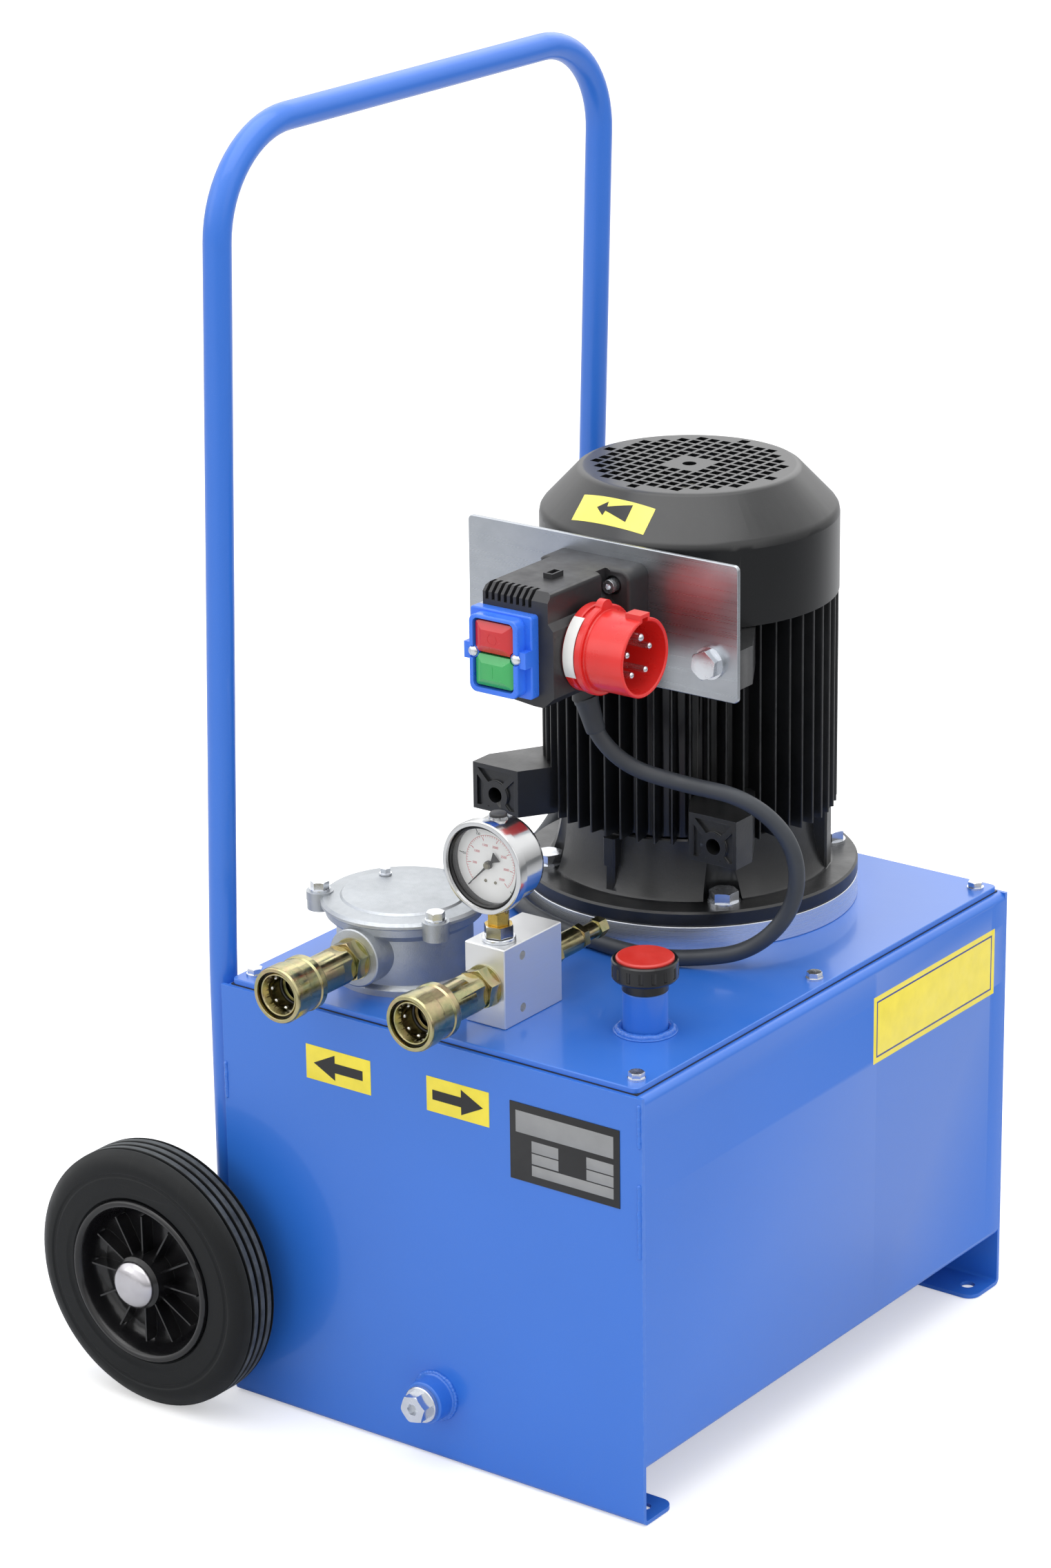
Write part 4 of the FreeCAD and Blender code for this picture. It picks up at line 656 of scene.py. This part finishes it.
BLUE = blue_enamel()
WELD = blue_enamel("enamelled weld", 0.3)
BLACK = black_enamel()
COWL = cowl_enamel()
ZINC = bright_zinc()
SHEET = zinc_sheet()
YELLOW_ZINC = yellow_zinc()
CAST = cast_alloy()
MILLED = milled_alloy()
TURNED = turned_alloy()
TYRE = tyre_rubber()
PLASTIC = black_plastic()
CAP_BLACK = black_plastic("black cap plastic", 18, 0.22, 0.04)
RIM = black_plastic("black rim plastic", 16, 0.2, 0.04)
RED = gloss_plastic("red moulding", colour(216, 34, 30), 0.28)
CAP_RED = gloss_plastic("red cap disc", colour(200, 42, 34), 0.36)
BLUE_HOOD = gloss_plastic("blue hood", colour(52, 116, 232), 0.28)
GREEN = gloss_plastic("green key", colour(58, 168, 92), 0.22)
RED_KEY = gloss_plastic("red key", colour(196, 34, 40), 0.2)
CABLE = cable_rubber()
POLISHED = polished_steel()
CAP = cap_steel()
DARK = dark_steel()
BRASS = brass()
GLASS = clear_glass()
# The dial is given a faint glow: painted light that lifts the white dial where the glass lens shades
# it.
DIAL = plain_print("dial white", colour(246, 247, 246), 0.4, Emission_Color=(1, 1, 1, 1),
                   Emission_Strength=0.12)
INK = plain_print("black ink", colour(16, 16, 18), 0.34)
RED_INK = plain_print("red ink", colour(206, 52, 66), 0.5)
BLUE_INK = plain_print("blue ink", colour(38, 58, 140), 0.4)
YELLOW = plain_print("yellow label film", colour(238, 220, 66), 0.34)
PALE_YELLOW = plain_print("pale yellow film", colour(252, 238, 110), 0.3)
SILVER = brushed_field()
WHITE = plain_print("white plastic", colour(236, 236, 234), 0.4)

# ------------------------------------------------------------------ finished copies of the solids


def dressed(node, material, bevel):
    """A finished copy of a solid: welded, flat faces joined, edges rounded by bevel millimetres."""
    source = NODES[node]
    piece = bpy.data.objects.new(node + "_finish", source.data.copy())
    bpy.context.scene.collection.objects.link(piece)
    pick_all(piece)
    bpy.ops.mesh.remove_doubles(threshold=2e-6)
    bpy.ops.mesh.dissolve_limited(angle_limit=math.radians(0.4))
    leave()
    if bevel:
        round_edges(piece, bevel * MM, angle=32)
    hand_over(piece, material, source["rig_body"], node)
    even_normals(piece)
    return piece


# The material and the edge rounding in millimetres of every solid that shows.
LOOKS = {
    BLUE: {"tank_wrap": 0.6, "tank_front_panel": 0.6, "tank_back_panel": 0.6, "tank_lid": 0.5,
           "drain_boss": 0.4, "filler_neck": 0.4, "handle_tube": 0.3, "axle_brackets": 0.6,
           "axle": 0.4},
    BLACK: {"motor_flange": 0.7, "motor_frame": 0, "terminal_box": 0.8},
    COWL: {"motor_cowl": 0},
    ZINC: {"lid_bolts": 0.25, "drain_plug": 0.3, "filter_screws": 0.25, "motor_bolts": 0.4,
           "starter_screws": 0.3, "inlet_pins": 0.2},
    SHEET: {"starter_plate": 0.3},
    POLISHED: {"gauge_case": 0.3},
    YELLOW_ZINC: {"coupler_nipples": 0.3, "relief_valve": 0.25, "return_coupler_body": 0.25,
                  "return_coupler_sleeve": 0.4, "pressure_coupler_body": 0.25,
                  "pressure_coupler_sleeve": 0.4},
    CAST: {"filter_housing": 0.8, "filter_cover": 0.8},
    MILLED: {"manifold_block": 0.3},
    TURNED: {"adapter_ring": 0.3},
    CAP: {"axle_caps": 0.3},
    TYRE: {"front_wheel_tyre": 0.8, "back_wheel_tyre": 0.8},
    RIM: {"front_wheel_rim": 0.5, "back_wheel_rim": 0.5},
    CAP_BLACK: {"filler_cap": 0.5},
    PLASTIC: {"starter_case": 0.7},
    CAP_RED: {"filler_cap_insert": 0.4},
    RED: {"inlet_shroud": 0.4},
    RED_KEY: {"red_button": 0.6},
    GREEN: {"green_button": 0.6},
    BLUE_HOOD: {"starter_hood": 0.5},
    DARK: {"return_coupler_poppet": 0.3, "pressure_coupler_poppet": 0.3},
}

# Solids that are hidden or flat, which only take a material.
PLAIN = {
    PLASTIC: ["lid_gasket", "motor_fan"],
    GLASS: ["gauge_lens"],
    DIAL: ["gauge_dial"],
    INK: ["gauge_pointer"],
    DARK: ["motor_rotor", "motor_stator", "motor_bearings", "pump_body", "pump_drive_gear",
           "pump_driven_gear", "shaft_coupling", "suction_strainer"],
    WHITE: ["filter_element"],
}


def dress_solids():
    done = {}
    for material, group in LOOKS.items():
        for node, bevel in group.items():
            done[node] = dressed(node, material, bevel)
    end_sign(done["tank_wrap"])
    brass_hexagon(done["gauge_case"])
    for material, names in PLAIN.items():
        for node in names:
            mesh = NODES[node].data
            mesh.materials.clear()
            mesh.materials.append(material)


def brass_hexagon(case):
    """The upper hexagon on the gauge's stem, and the stem in it, are brass."""
    stem = mm(27, -186.5, 0)
    low, high, reach = 398.5 * MM, 413 * MM, 8.5 * MM
    repaint(case, BRASS, lambda at, normal: low < at.z < high
            and math.hypot(at.x - stem.x, at.y - stem.y) < reach)


# ------------------------------------------------------------------ cable

# Centre line of the supply cable in millimetres, from the starter round the motor to its back.
CABLE_ROUTE = [
    (9, -58, 550), (9, -58, 512), (33, -49, 478), (72, -32, 466), (119, -13, 459), (147, 5, 425),
    (148, 7, 378), (121, -8, 341), (81, -33, 334.4), (47, -46, 334.4), (0, -42, 334.4),
    (-60, -28, 334.4), (-105, 2, 334.4), (-137, 51, 335), (-146, 117, 346), (-146, 172, 408),
    (-117, 200, 436), (-79, 212, 446), (-58, 212, 446),
]
CABLE_DIAMETER = 12 * MM


def supply_cable():
    curve = bpy.data.curves.new("supply_cable", "CURVE")
    curve.dimensions = "3D"
    spline = curve.splines.new("NURBS")
    spline.points.add(len(CABLE_ROUTE) - 1)
    for point, place in zip(spline.points, CABLE_ROUTE):
        point.co = (*[value * MM for value in place], 1)
    spline.order_u = 3
    spline.use_endpoint_u = True
    curve.resolution_u = 16
    curve.bevel_depth = CABLE_DIAMETER / 2
    curve.bevel_resolution = 8
    curve.use_fill_caps = True
    piece = bpy.data.objects.new("supply_cable", curve)
    bpy.context.scene.collection.objects.link(piece)
    curve.materials.append(CABLE)
    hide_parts("cable")
    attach(piece, UNIT)


def cable_boot(name, start, end, wide, narrow):
    """A tapered rubber boot round the cable, with a collar at its wide end; radii in millimetres."""
    axis = mm(*end) - mm(*start)
    length = axis.length / MM
    inner = CABLE_DIAMETER / 2 / MM + 0.3
    collar = wide + 0.6
    points = [(inner, 0), (collar, 0), (collar, 3), (wide, 4.2),
              (wide * 0.4 + narrow * 0.6, length * 0.6), (narrow, length * 0.95),
              (narrow - 0.4, length), (inner, length)]
    boot = spun(name, points, mm(*start), axis, 36)
    round_edges(boot, 0.3 * MM, 2, 30)
    hand_over(boot, CABLE)


# ------------------------------------------------------------------ labels and plates

# The faces of the tank's front panel and of its plain end, in millimetres.
TANK_FRONT = -238.0
PLAIN_END = 184.0


def front_plate(name, left, right, low, high, thickness=0.3, bevel=0.08):
    """A thin plate on the tank's front, between two corners given in millimetres."""
    return slab(name, (left, TANK_FRONT - thickness, low), (right, TANK_FRONT + 0.1, high), bevel)


def flat_outline(name, points, height=0.0):
    """A flat polygon of (x, z) in millimetres that faces -Y, made thick towards -Y if asked."""
    bpy.ops.mesh.primitive_circle_add(vertices=len(points), radius=MM, fill_type="NGON")
    piece = added(name)
    for vertex, (x, z) in zip(piece.data.vertices, points):
        vertex.co = (x * MM, 0, z * MM)
    pick_all(piece)
    if height:
        bpy.ops.mesh.extrude_region_move(TRANSFORM_OT_translate={"value": (0, -height * MM, 0)})
        bpy.ops.mesh.select_all(action="SELECT")
    bpy.ops.mesh.normals_make_consistent(inside=False)
    leave()
    return piece


def flow_arrow(name, centre_x, centre_z, turn):
    """A printed arrow on a front label, turned about its centre."""
    half, shaft, head, neck = 22, 3.7, 9.6, 3
    outline = [(-half, -shaft), (neck, -shaft), (neck, -head), (half, 0), (neck, head),
               (neck, shaft), (-half, shaft)]
    piece = flat_outline(name, outline, 0.1)
    piece.rotation_euler = (0, turn, 0)
    piece.location = mm(centre_x, TANK_FRONT - 0.34, centre_z)
    settle(piece)
    hand_over(piece, INK)


def labels():
    film = front_plate("return_label", -107, -49, 269.2, 295.4)
    hand_over(film, YELLOW)
    flow_arrow("return_label_arrow", -78, 282.3, math.pi)
    film = front_plate("pressure_label", 0.7, 55, 270.6, 296.8)
    hand_over(film, YELLOW)
    flow_arrow("pressure_label_arrow", 27.9, 283.7, 0)


def nameplate():
    """A black plate with blank silver fields, placed by shares of its width and height."""
    left, right, low, high = 73, 165.6, 238, 296
    width, height = right - left, high - low
    plate = front_plate("nameplate", left, right, low, high, 0.5, 0.1)
    hand_over(plate, INK)
    fields = []
    for x0, x1, top, bottom in ((0.055, 0.945, 0.1, 0.38), (0.2, 0.445, 0.45, 0.595),
                                (0.2, 0.445, 0.61, 0.745), (0.2, 0.945, 0.765, 0.9),
                                (0.7, 0.945, 0.455, 0.6), (0.7, 0.945, 0.615, 0.75)):
        corner = (left + x0 * width, TANK_FRONT - 0.62, high - bottom * height)
        opposite = (left + x1 * width, TANK_FRONT - 0.45, high - top * height)
        fields.append(slab("field", corner, opposite, 0.05))
    hand_over(join("nameplate_fields", fields), SILVER)


def end_sign(panel):
    """A bare yellow field with a thin blue frame on the plain end, flush with its face."""
    y0, y1, z0, z1 = 53, 221, 247, 299
    line_starts, line_ends = 4, 5.4

    def on_face(at, facing):
        return facing.x > 0.99 and at.x > (PLAIN_END - 0.1) * MM

    def within(inset):
        return lambda at, facing: (on_face(at, facing)
                                   and (y0 + inset) * MM < at.y < (y1 - inset) * MM
                                   and (z0 + inset) * MM < at.z < (z1 - inset) * MM)

    for inset in (0, line_starts, line_ends):
        for place, normal in ((mm(0, y0 + inset, 0), (0, 1, 0)), (mm(0, y1 - inset, 0), (0, 1, 0)),
                              (mm(0, 0, z0 + inset), (0, 0, 1)), (mm(0, 0, z1 - inset), (0, 0, 1))):
            pick_faces(panel, on_face)
            bpy.ops.mesh.bisect(plane_co=place, plane_no=normal)
            leave()
    repaint(panel, YELLOW, within(0))
    repaint(panel, BLUE_INK, within(line_starts))
    repaint(panel, YELLOW, within(line_ends))


# ------------------------------------------------------------------ sticker on the cowl

# The cowl's axis, and the (radius, height) of its cone's upper and lower edges, in millimetres.
COWL_AXIS = mm(-8, 98.4, 0)
CONE_TOP, CONE_FOOT = (80, 658), (107.2, 629)
STICKER_TURN = math.radians(-91.8)


def lay_on_cone(piece, rise, lift, material):
    """Bend a flat piece onto the front of the cone, raised along its slope, as a thin film."""
    slope = math.atan2(CONE_TOP[1] - CONE_FOOT[1], CONE_FOOT[0] - CONE_TOP[0])
    radius, height = ((top + foot) / 2 * MM for top, foot in zip(CONE_TOP, CONE_FOOT))
    out = Vector((math.cos(STICKER_TURN), math.sin(STICKER_TURN), 0))
    normal = (out * math.sin(slope) + Vector((0, 0, 1)) * math.cos(slope)).normalized()
    across = Vector((-out.y, out.x, 0))
    up = normal.cross(across)
    centre = COWL_AXIS + out * radius + Vector((0, 0, height)) + up * rise * MM
    basis = Matrix((across, -normal, up)).transposed().to_4x4()
    piece.matrix_world = Matrix.Translation(centre) @ basis
    settle(piece)
    modify(piece, "SHRINKWRAP", target=NODES["motor_cowl"], offset=lift * MM,
           wrap_method="NEAREST_SURFACEPOINT", wrap_mode="ABOVE_SURFACE")
    modify(piece, "SOLIDIFY", thickness=0.12 * MM, offset=0)
    hand_over(piece, material)


def cowl_sticker():
    """A pale yellow film with the arrow of the motor's sense of rotation."""
    bpy.ops.mesh.primitive_grid_add(x_subdivisions=40, y_subdivisions=8, size=1)
    film = added("turning_sticker")
    film.scale = (65.4 * MM, 21.6 * MM, 1)
    film.rotation_euler = (math.pi / 2, 0, 0)
    settle(film)
    lay_on_cone(film, 0, 0.14, PALE_YELLOW)

    arrow = flat_outline("turning_arrow", [(-13.8, 0), (-5.8, 5.7), (-5.1, 1.7), (14.8, 7),
                                           (14.8, -7), (-5.1, -1.7), (-5.8, -5.7)])
    pick_all(arrow)
    bpy.ops.mesh.quads_convert_to_tris()
    bpy.ops.mesh.subdivide(number_cuts=5)
    leave()
    lay_on_cone(arrow, 1.6, 0.3, INK)


# ------------------------------------------------------------------ gauge

# The middle of the dial's face, and the angles of its scale.
GAUGE = mm(27, -194, 446)
FORWARD = (0, -1, 0)
DIAL_START, DIAL_SWEEP = math.radians(225), math.radians(-270)


def dial_point(share, radius):
    angle = DIAL_START + DIAL_SWEEP * share
    return GAUGE + Vector((math.cos(angle), 0, math.sin(angle))) * radius * MM


def tick_marks(name, count, every, radius, short, long, width, material):
    """Radial marks round the scale: a long one at every few."""
    marks = []
    for i in range(count + 1):
        length = long if i % every == 0 else short
        if not length:
            continue
        mark = slab("mark", (-width / 2, -0.05, 0), (width / 2, 0.05, length))
        angle = DIAL_START + DIAL_SWEEP * i / count
        mark.rotation_euler = (0, math.pi / 2 - angle, 0)
        mark.location = dial_point(i / count, radius - length) + mm(0, -0.05, 0)
        settle(mark)
        marks.append(mark)
    hand_over(join(name, marks), material)


def numbers(name, texts, radius, size, material):
    """Plain numbers round the scale, each text with its share of the sweep."""
    made = []
    for text, share in texts:
        bpy.ops.object.text_add(location=dial_point(share, radius) + mm(0, -0.12, 0),
                                rotation=(math.pi / 2, 0, 0))
        item = bpy.context.active_object
        item.data.body = text
        item.data.size = size * MM
        item.data.align_x = "CENTER"
        item.data.align_y = "CENTER"
        item.data.resolution_u = 3
        item.data.extrude = 0.03 * MM
        activate(item)
        bpy.ops.object.convert(target="MESH")
        settle(item)
        made.append(item)
    piece = join(name, made)
    pick_all(piece)
    bpy.ops.mesh.remove_doubles(threshold=1e-6)
    leave()
    hand_over(piece, material)


def scale_circle():
    """The thin line between the two scales, open at the bottom."""
    circle = spun("scale_circle", [(20.6, 0), (20.8, 0), (20.8, 0.08), (20.6, 0.08)],
                  GAUGE, FORWARD, 96)

    def at_bottom(at, normal):
        angle = math.degrees(math.atan2(at.z - GAUGE.z, at.x - GAUGE.x)) % 360
        return 226 < angle < 314
    pick_faces(circle, at_bottom)
    bpy.ops.mesh.delete(type="FACE")
    leave()
    modify(circle, "SOLIDIFY", thickness=0.03 * MM)
    hand_over(circle, RED_INK)


def gauge_scales():
    tick_marks("outer_scale", 50, 10, 27, 0, 3.2, 0.5, INK)
    tick_marks("outer_fine_scale", 50, 1, 20.6, 1.3, 1.3, 0.22, RED_INK)
    tick_marks("inner_scale", 35, 5, 19.2, 0, 2.4, 0.4, RED_INK)
    numbers("outer_numbers", [(str(50 * i), i / 5) for i in range(1, 5)], 22.6, 2.6, INK)
    numbers("inner_numbers", [(str(500 * i), i / 7) for i in range(1, 8)], 13.6, 2.5, RED_INK)
    scale_circle()


def gauge_trim():
    rivets = [disc("rivet", GAUGE + mm(x, -0.3, -13), 1.15, 0.7, FORWARD, 20, 0.25)
              for x in (-4.2, 4.2)]
    hand_over(join("dial_rivets", rivets), DARK)
    # A black lining on the case's inner wall between dial and lens: painted shade of the recess, not a
    # part of the gauge.
    recess_shade = spun("dial_recess_shade_lining", [(28.72, 0.2), (28.2, 0.2), (28.2, 5.9), (28.72, 5.9)],
                GAUGE, FORWARD, 96)
    hand_over(recess_shade, INK)
    seal = spun("bezel_seal", [(27.6, 8.05), (29.3, 8.05), (29.3, 9), (28.6, 9.4), (27.8, 8.8)],
                GAUGE, FORWARD, 96)
    hand_over(seal, INK)
    hub = spun("pointer_hub", [(0.02, 5.1), (0.02, 5.6), (2.2, 5.5), (2.5, 5.0), (2.5, 3.4),
                               (2.1, 3.4), (2.1, 5.05)], GAUGE, FORWARD, 32)
    hand_over(hub, DARK, "gauge_needle")
    plug = spun("gauge_fill_plug", [(0.02, -1), (5.6, -1), (6.2, 0), (6.2, 1.2), (5.6, 1.9),
                                    (3, 2.2), (0.02, 2.3)], mm(27, -185, 479), steps=40)
    hand_over(plug, PLASTIC)
    ring = spun("gauge_washer", [(6.7, 0.02), (11.6, 0.02), (12, 0.4), (12, 2.6), (11.6, 3),
                                 (6.7, 3)], mm(27, -186.5, 387.5))
    hand_over(ring, ZINC)


# ------------------------------------------------------------------ couplings and starter details


def coupling_details(side, body_x, seat_y):
    """Locking balls, seal and snap ring in the mouth of a coupling."""
    axis = mm(body_x, seat_y, 358)
    ball_place = axis + mm(0, -75.4, 12.2)
    bpy.ops.mesh.primitive_uv_sphere_add(segments=14, ring_count=8, radius=1.9 * MM,
                                         location=ball_place)
    ball = added(side + "_ball")
    settle(ball)
    pick_all(ball)
    # The outer part of each ball, which lies in the sleeve, is cut off.
    bpy.ops.mesh.bisect(plane_co=ball_place + mm(0, 0, 0.5), plane_no=(0, 0, 1),
                        clear_outer=True, use_fill=True)
    leave()
    balls = around(ball, axis, (0, 1, 0), 8)
    hand_over(join(side + "_coupler_balls", balls), POLISHED, angle=60)
    seal = spun(side + "_coupler_seal", [(11.75, 65.3), (10.8, 65.5), (10.4, 66.4), (10.8, 67.3),
                                         (11.75, 67.5)], axis, FORWARD, 56)
    hand_over(seal, INK, angle=60)
    clip = spun(side + "_sleeve_clip", [(16.05, 80.6), (17, 80.6), (17.1, 81.4), (16.9, 81.9),
                                        (16.05, 81.9)], axis, FORWARD, 56)
    hand_over(clip, INK, angle=60)


def inlet_strip():
    """The white marking strip on the side of the inlet's first collar."""
    centre = mm(30.6, -75, 571.3)
    bpy.ops.mesh.primitive_cylinder_add(vertices=120, radius=31.8 * MM, depth=9 * MM,
                                        end_fill_type="NOTHING", location=centre,
                                        rotation=(0, math.pi / 2, 0))
    strip = added("inlet_strip")
    settle(strip)

    def away(at, normal):
        angle = math.degrees(math.atan2(at.z - centre.z, centre.y - at.y))
        return not -28 < angle < 58
    pick_faces(strip, away)
    bpy.ops.mesh.delete(type="FACE")
    leave()
    modify(strip, "SOLIDIFY", thickness=0.3 * MM, offset=0)
    hand_over(strip, WHITE)


def key_symbols():
    ring = spun("off_symbol", [(3.4, 0), (4.4, 0), (4.3, 0.25), (3.5, 0.25)],
                mm(-14.3, -134.95, 584.8), FORWARD, 40)
    hand_over(ring, RED_KEY, "red_button", angle=50)
    bar = slab("on_symbol", (-14.8, -135.2, 556.4), (-13.8, -134.9, 564.6), 0.12)
    hand_over(bar, GREEN, "green_button")


# ------------------------------------------------------------------ welds


def knit(piece):
    """Melt a row of ripples into one uneven run of weld."""
    modify(piece, "REMESH", mode="VOXEL", voxel_size=0.5 * MM)
    lumps = bpy.data.textures.new("weld lumps", "CLOUDS")
    lumps.noise_scale = 5 * MM
    modify(piece, "DISPLACE", texture=lumps, texture_coords="GLOBAL", strength=1.3 * MM)
    modify(piece, "SMOOTH", factor=0.5, iterations=3)


def ripple(name, place, radius):
    """One ripple of a weld."""
    bpy.ops.mesh.primitive_uv_sphere_add(segments=10, ring_count=6, radius=radius * MM, location=place)
    piece = added(name)
    settle(piece)
    return piece


def bead(name, start, end, radius, pitch=2.2):
    """A straight weld between two places in millimetres: ripples in a row, melted together."""
    run = mm(*end) - mm(*start)
    piece = ripple(name, mm(*start), radius)
    count = int(run.length / (pitch * MM)) + 1
    modify(piece, "ARRAY", count=count, use_relative_offset=False, use_constant_offset=True,
           constant_offset_displace=run / max(count - 1, 1))
    knit(piece)
    hand_over(piece, WELD, angle=80)


def ring_bead(name, centre, ring_radius, radius, direction, count):
    """A round weld: ripples in a ring, melted together."""
    side = Vector(direction).orthogonal().normalized()
    first = ripple(name, mm(*centre) + side * ring_radius * MM, radius)
    ring = join(name, around(first, mm(*centre), direction, count))
    knit(ring)
    hand_over(ring, WELD, angle=80)


def welds():
    bead("right_corner_weld", (181.4, -237.6, 206), (181.4, -237.6, 258), 1.9)
    bead("right_corner_top_weld", (181.5, -237.7, 288), (181.5, -237.7, 317), 1.8)
    bead("left_corner_weld", (-182.2, -238, 236), (-182.2, -238, 262), 1.7)
    for side, end in ((-1, "front"), (1, "back")):
        edge = side * 230.5
        for low, high, part in ((92, 128, "low"), (262, 300, "high")):
            bead("handle_weld_%s_%s" % (part, end), (-186.2, edge, low), (-186.2, edge, high), 2.2)
        for offset, face in ((-3.2, "a"), (3.2, "b")):
            bracket = side * 205 + offset
            bead("bracket_weld_%s_%s" % (end, face),
                 (-185.6, bracket, 64), (-185.6, bracket, 136), 1.8)
    ring_bead("filler_weld", (122.5, -146, 329), 18.8, 3, (0, 0, 1), 40)
    ring_bead("drain_weld", (3.5, -238.6, 50), 17.6, 1.9, FORWARD, 44)


# ------------------------------------------------------------------ stage


def floor():
    clear_selection()
    bpy.ops.mesh.primitive_plane_add(size=16, location=(0, 0, -0.0005))
    piece = added("floor")
    f = Finish("pale floor", colour(232, 232, 232), 0.9)
    path = f.node("LightPath")
    # In reflections the floor darkens towards the plain end.
    along = f.node("SeparateXYZ", Vector=f.at).outputs["X"]
    mirrored = f.mix(f.span(along, 0.2, 1.8), colour(222, 223, 225), colour(105, 107, 110))
    shade = f.mix(path.outputs["Is Glossy Ray"], colour(232, 232, 232), mirrored)
    f.feed(f.shader.inputs["Base Color"], shade)
    f.shader.inputs["Emission Color"].default_value = (1, 1, 1, 1)
    f.feed(f.shader.inputs["Emission Strength"],
           f.math("MULTIPLY", path.outputs["Is Camera Ray"], 0.42))
    piece.data.materials.append(f.material)


def sky():
    world = bpy.data.worlds.new("studio")
    bpy.context.scene.world = world
    world.use_nodes = True
    t = Tree(world.node_tree)
    background = world.node_tree.nodes["Background"]
    path = t.node("LightPath")
    direction = t.node("SeparateXYZ", Vector=t.node("TexCoord").outputs["Generated"])
    # Reflections see a sky that brightens from the horizon to the top, and darkens towards +X.
    height = t.span(direction.outputs["Z"], 0.0, 0.4, 0.8, 1.75)
    side = t.span(direction.outputs["X"], -0.2, 0.9, 1.0, 0.6)
    mirrored = t.math("MULTIPLY", t.math("MULTIPLY", path.outputs["Is Glossy Ray"], height), side)
    seen = t.math("ADD", path.outputs["Is Camera Ray"], path.outputs["Is Transmission Ray"],
                  clamp=True)
    soft = t.math("MULTIPLY", path.outputs["Is Diffuse Ray"], 0.92)
    t.feed(background.inputs["Strength"],
           t.math("MAXIMUM", t.math("MAXIMUM", mirrored, seen), soft))
    background.inputs["Color"].default_value = (1, 1, 1, 1)


def lamps():
    """Square area lights that face the object, each with its place, size and power."""
    target = Vector((0, 0, 0.35))
    for name, place, size, power in (("overhead", (0.1, -0.4, 3.0), 3.0, 44),
                                     ("camera_left", (-2.4, -2.8, 2.0), 2.2, 12),
                                     ("camera_right", (3.0, -0.6, 1.8), 2.2, 7),
                                     ("behind", (-0.6, 2.8, 2.2), 2.0, 8)):
        light = bpy.data.lights.new(name, "AREA")
        light.shape = "SQUARE"
        light.size = size
        light.energy = power
        lamp = bpy.data.objects.new(name, light)
        lamp.location = place
        lamp.rotation_euler = (target - Vector(place)).to_track_quat("-Z", "Y").to_euler()
        bpy.context.scene.collection.objects.link(lamp)


def camera():
    place = (1.8638, -2.6205, 1.5855)
    heading, downward, roll = (math.radians(angle) for angle in (36.665, 19.567, -0.798))
    settings = bpy.data.cameras.new("camera")
    settings.sensor_width = 36
    settings.lens = 108.24
    viewer = bpy.data.objects.new("camera", settings)
    bpy.context.scene.collection.objects.link(viewer)
    viewer.matrix_world = (
        Matrix.Translation(place)
        @ Matrix.Rotation(heading, 4, "Z")
        @ Matrix.Rotation(math.pi / 2 - downward, 4, "X")
        @ Matrix.Rotation(roll, 4, "Z")
    )
    bpy.context.scene.camera = viewer


dress_solids()
supply_cable()
cable_boot("starter_boot", (10.1, -57.6, 526), (17, -55, 501), 8.4, 7.1)
cable_boot("terminal_boot", (-70.5, 211.2, 445.5), (-91.5, 207.9, 442.6), 7.8, 7.0)
labels()
nameplate()
cowl_sticker()
gauge_scales()
gauge_trim()
coupling_details("return", -81, -214)
coupling_details("pressure", 26, -202)
inlet_strip()
key_symbols()
welds()
floor()
sky()
lamps()
camera()
bpy.context.scene.view_settings.view_transform = "Standard"
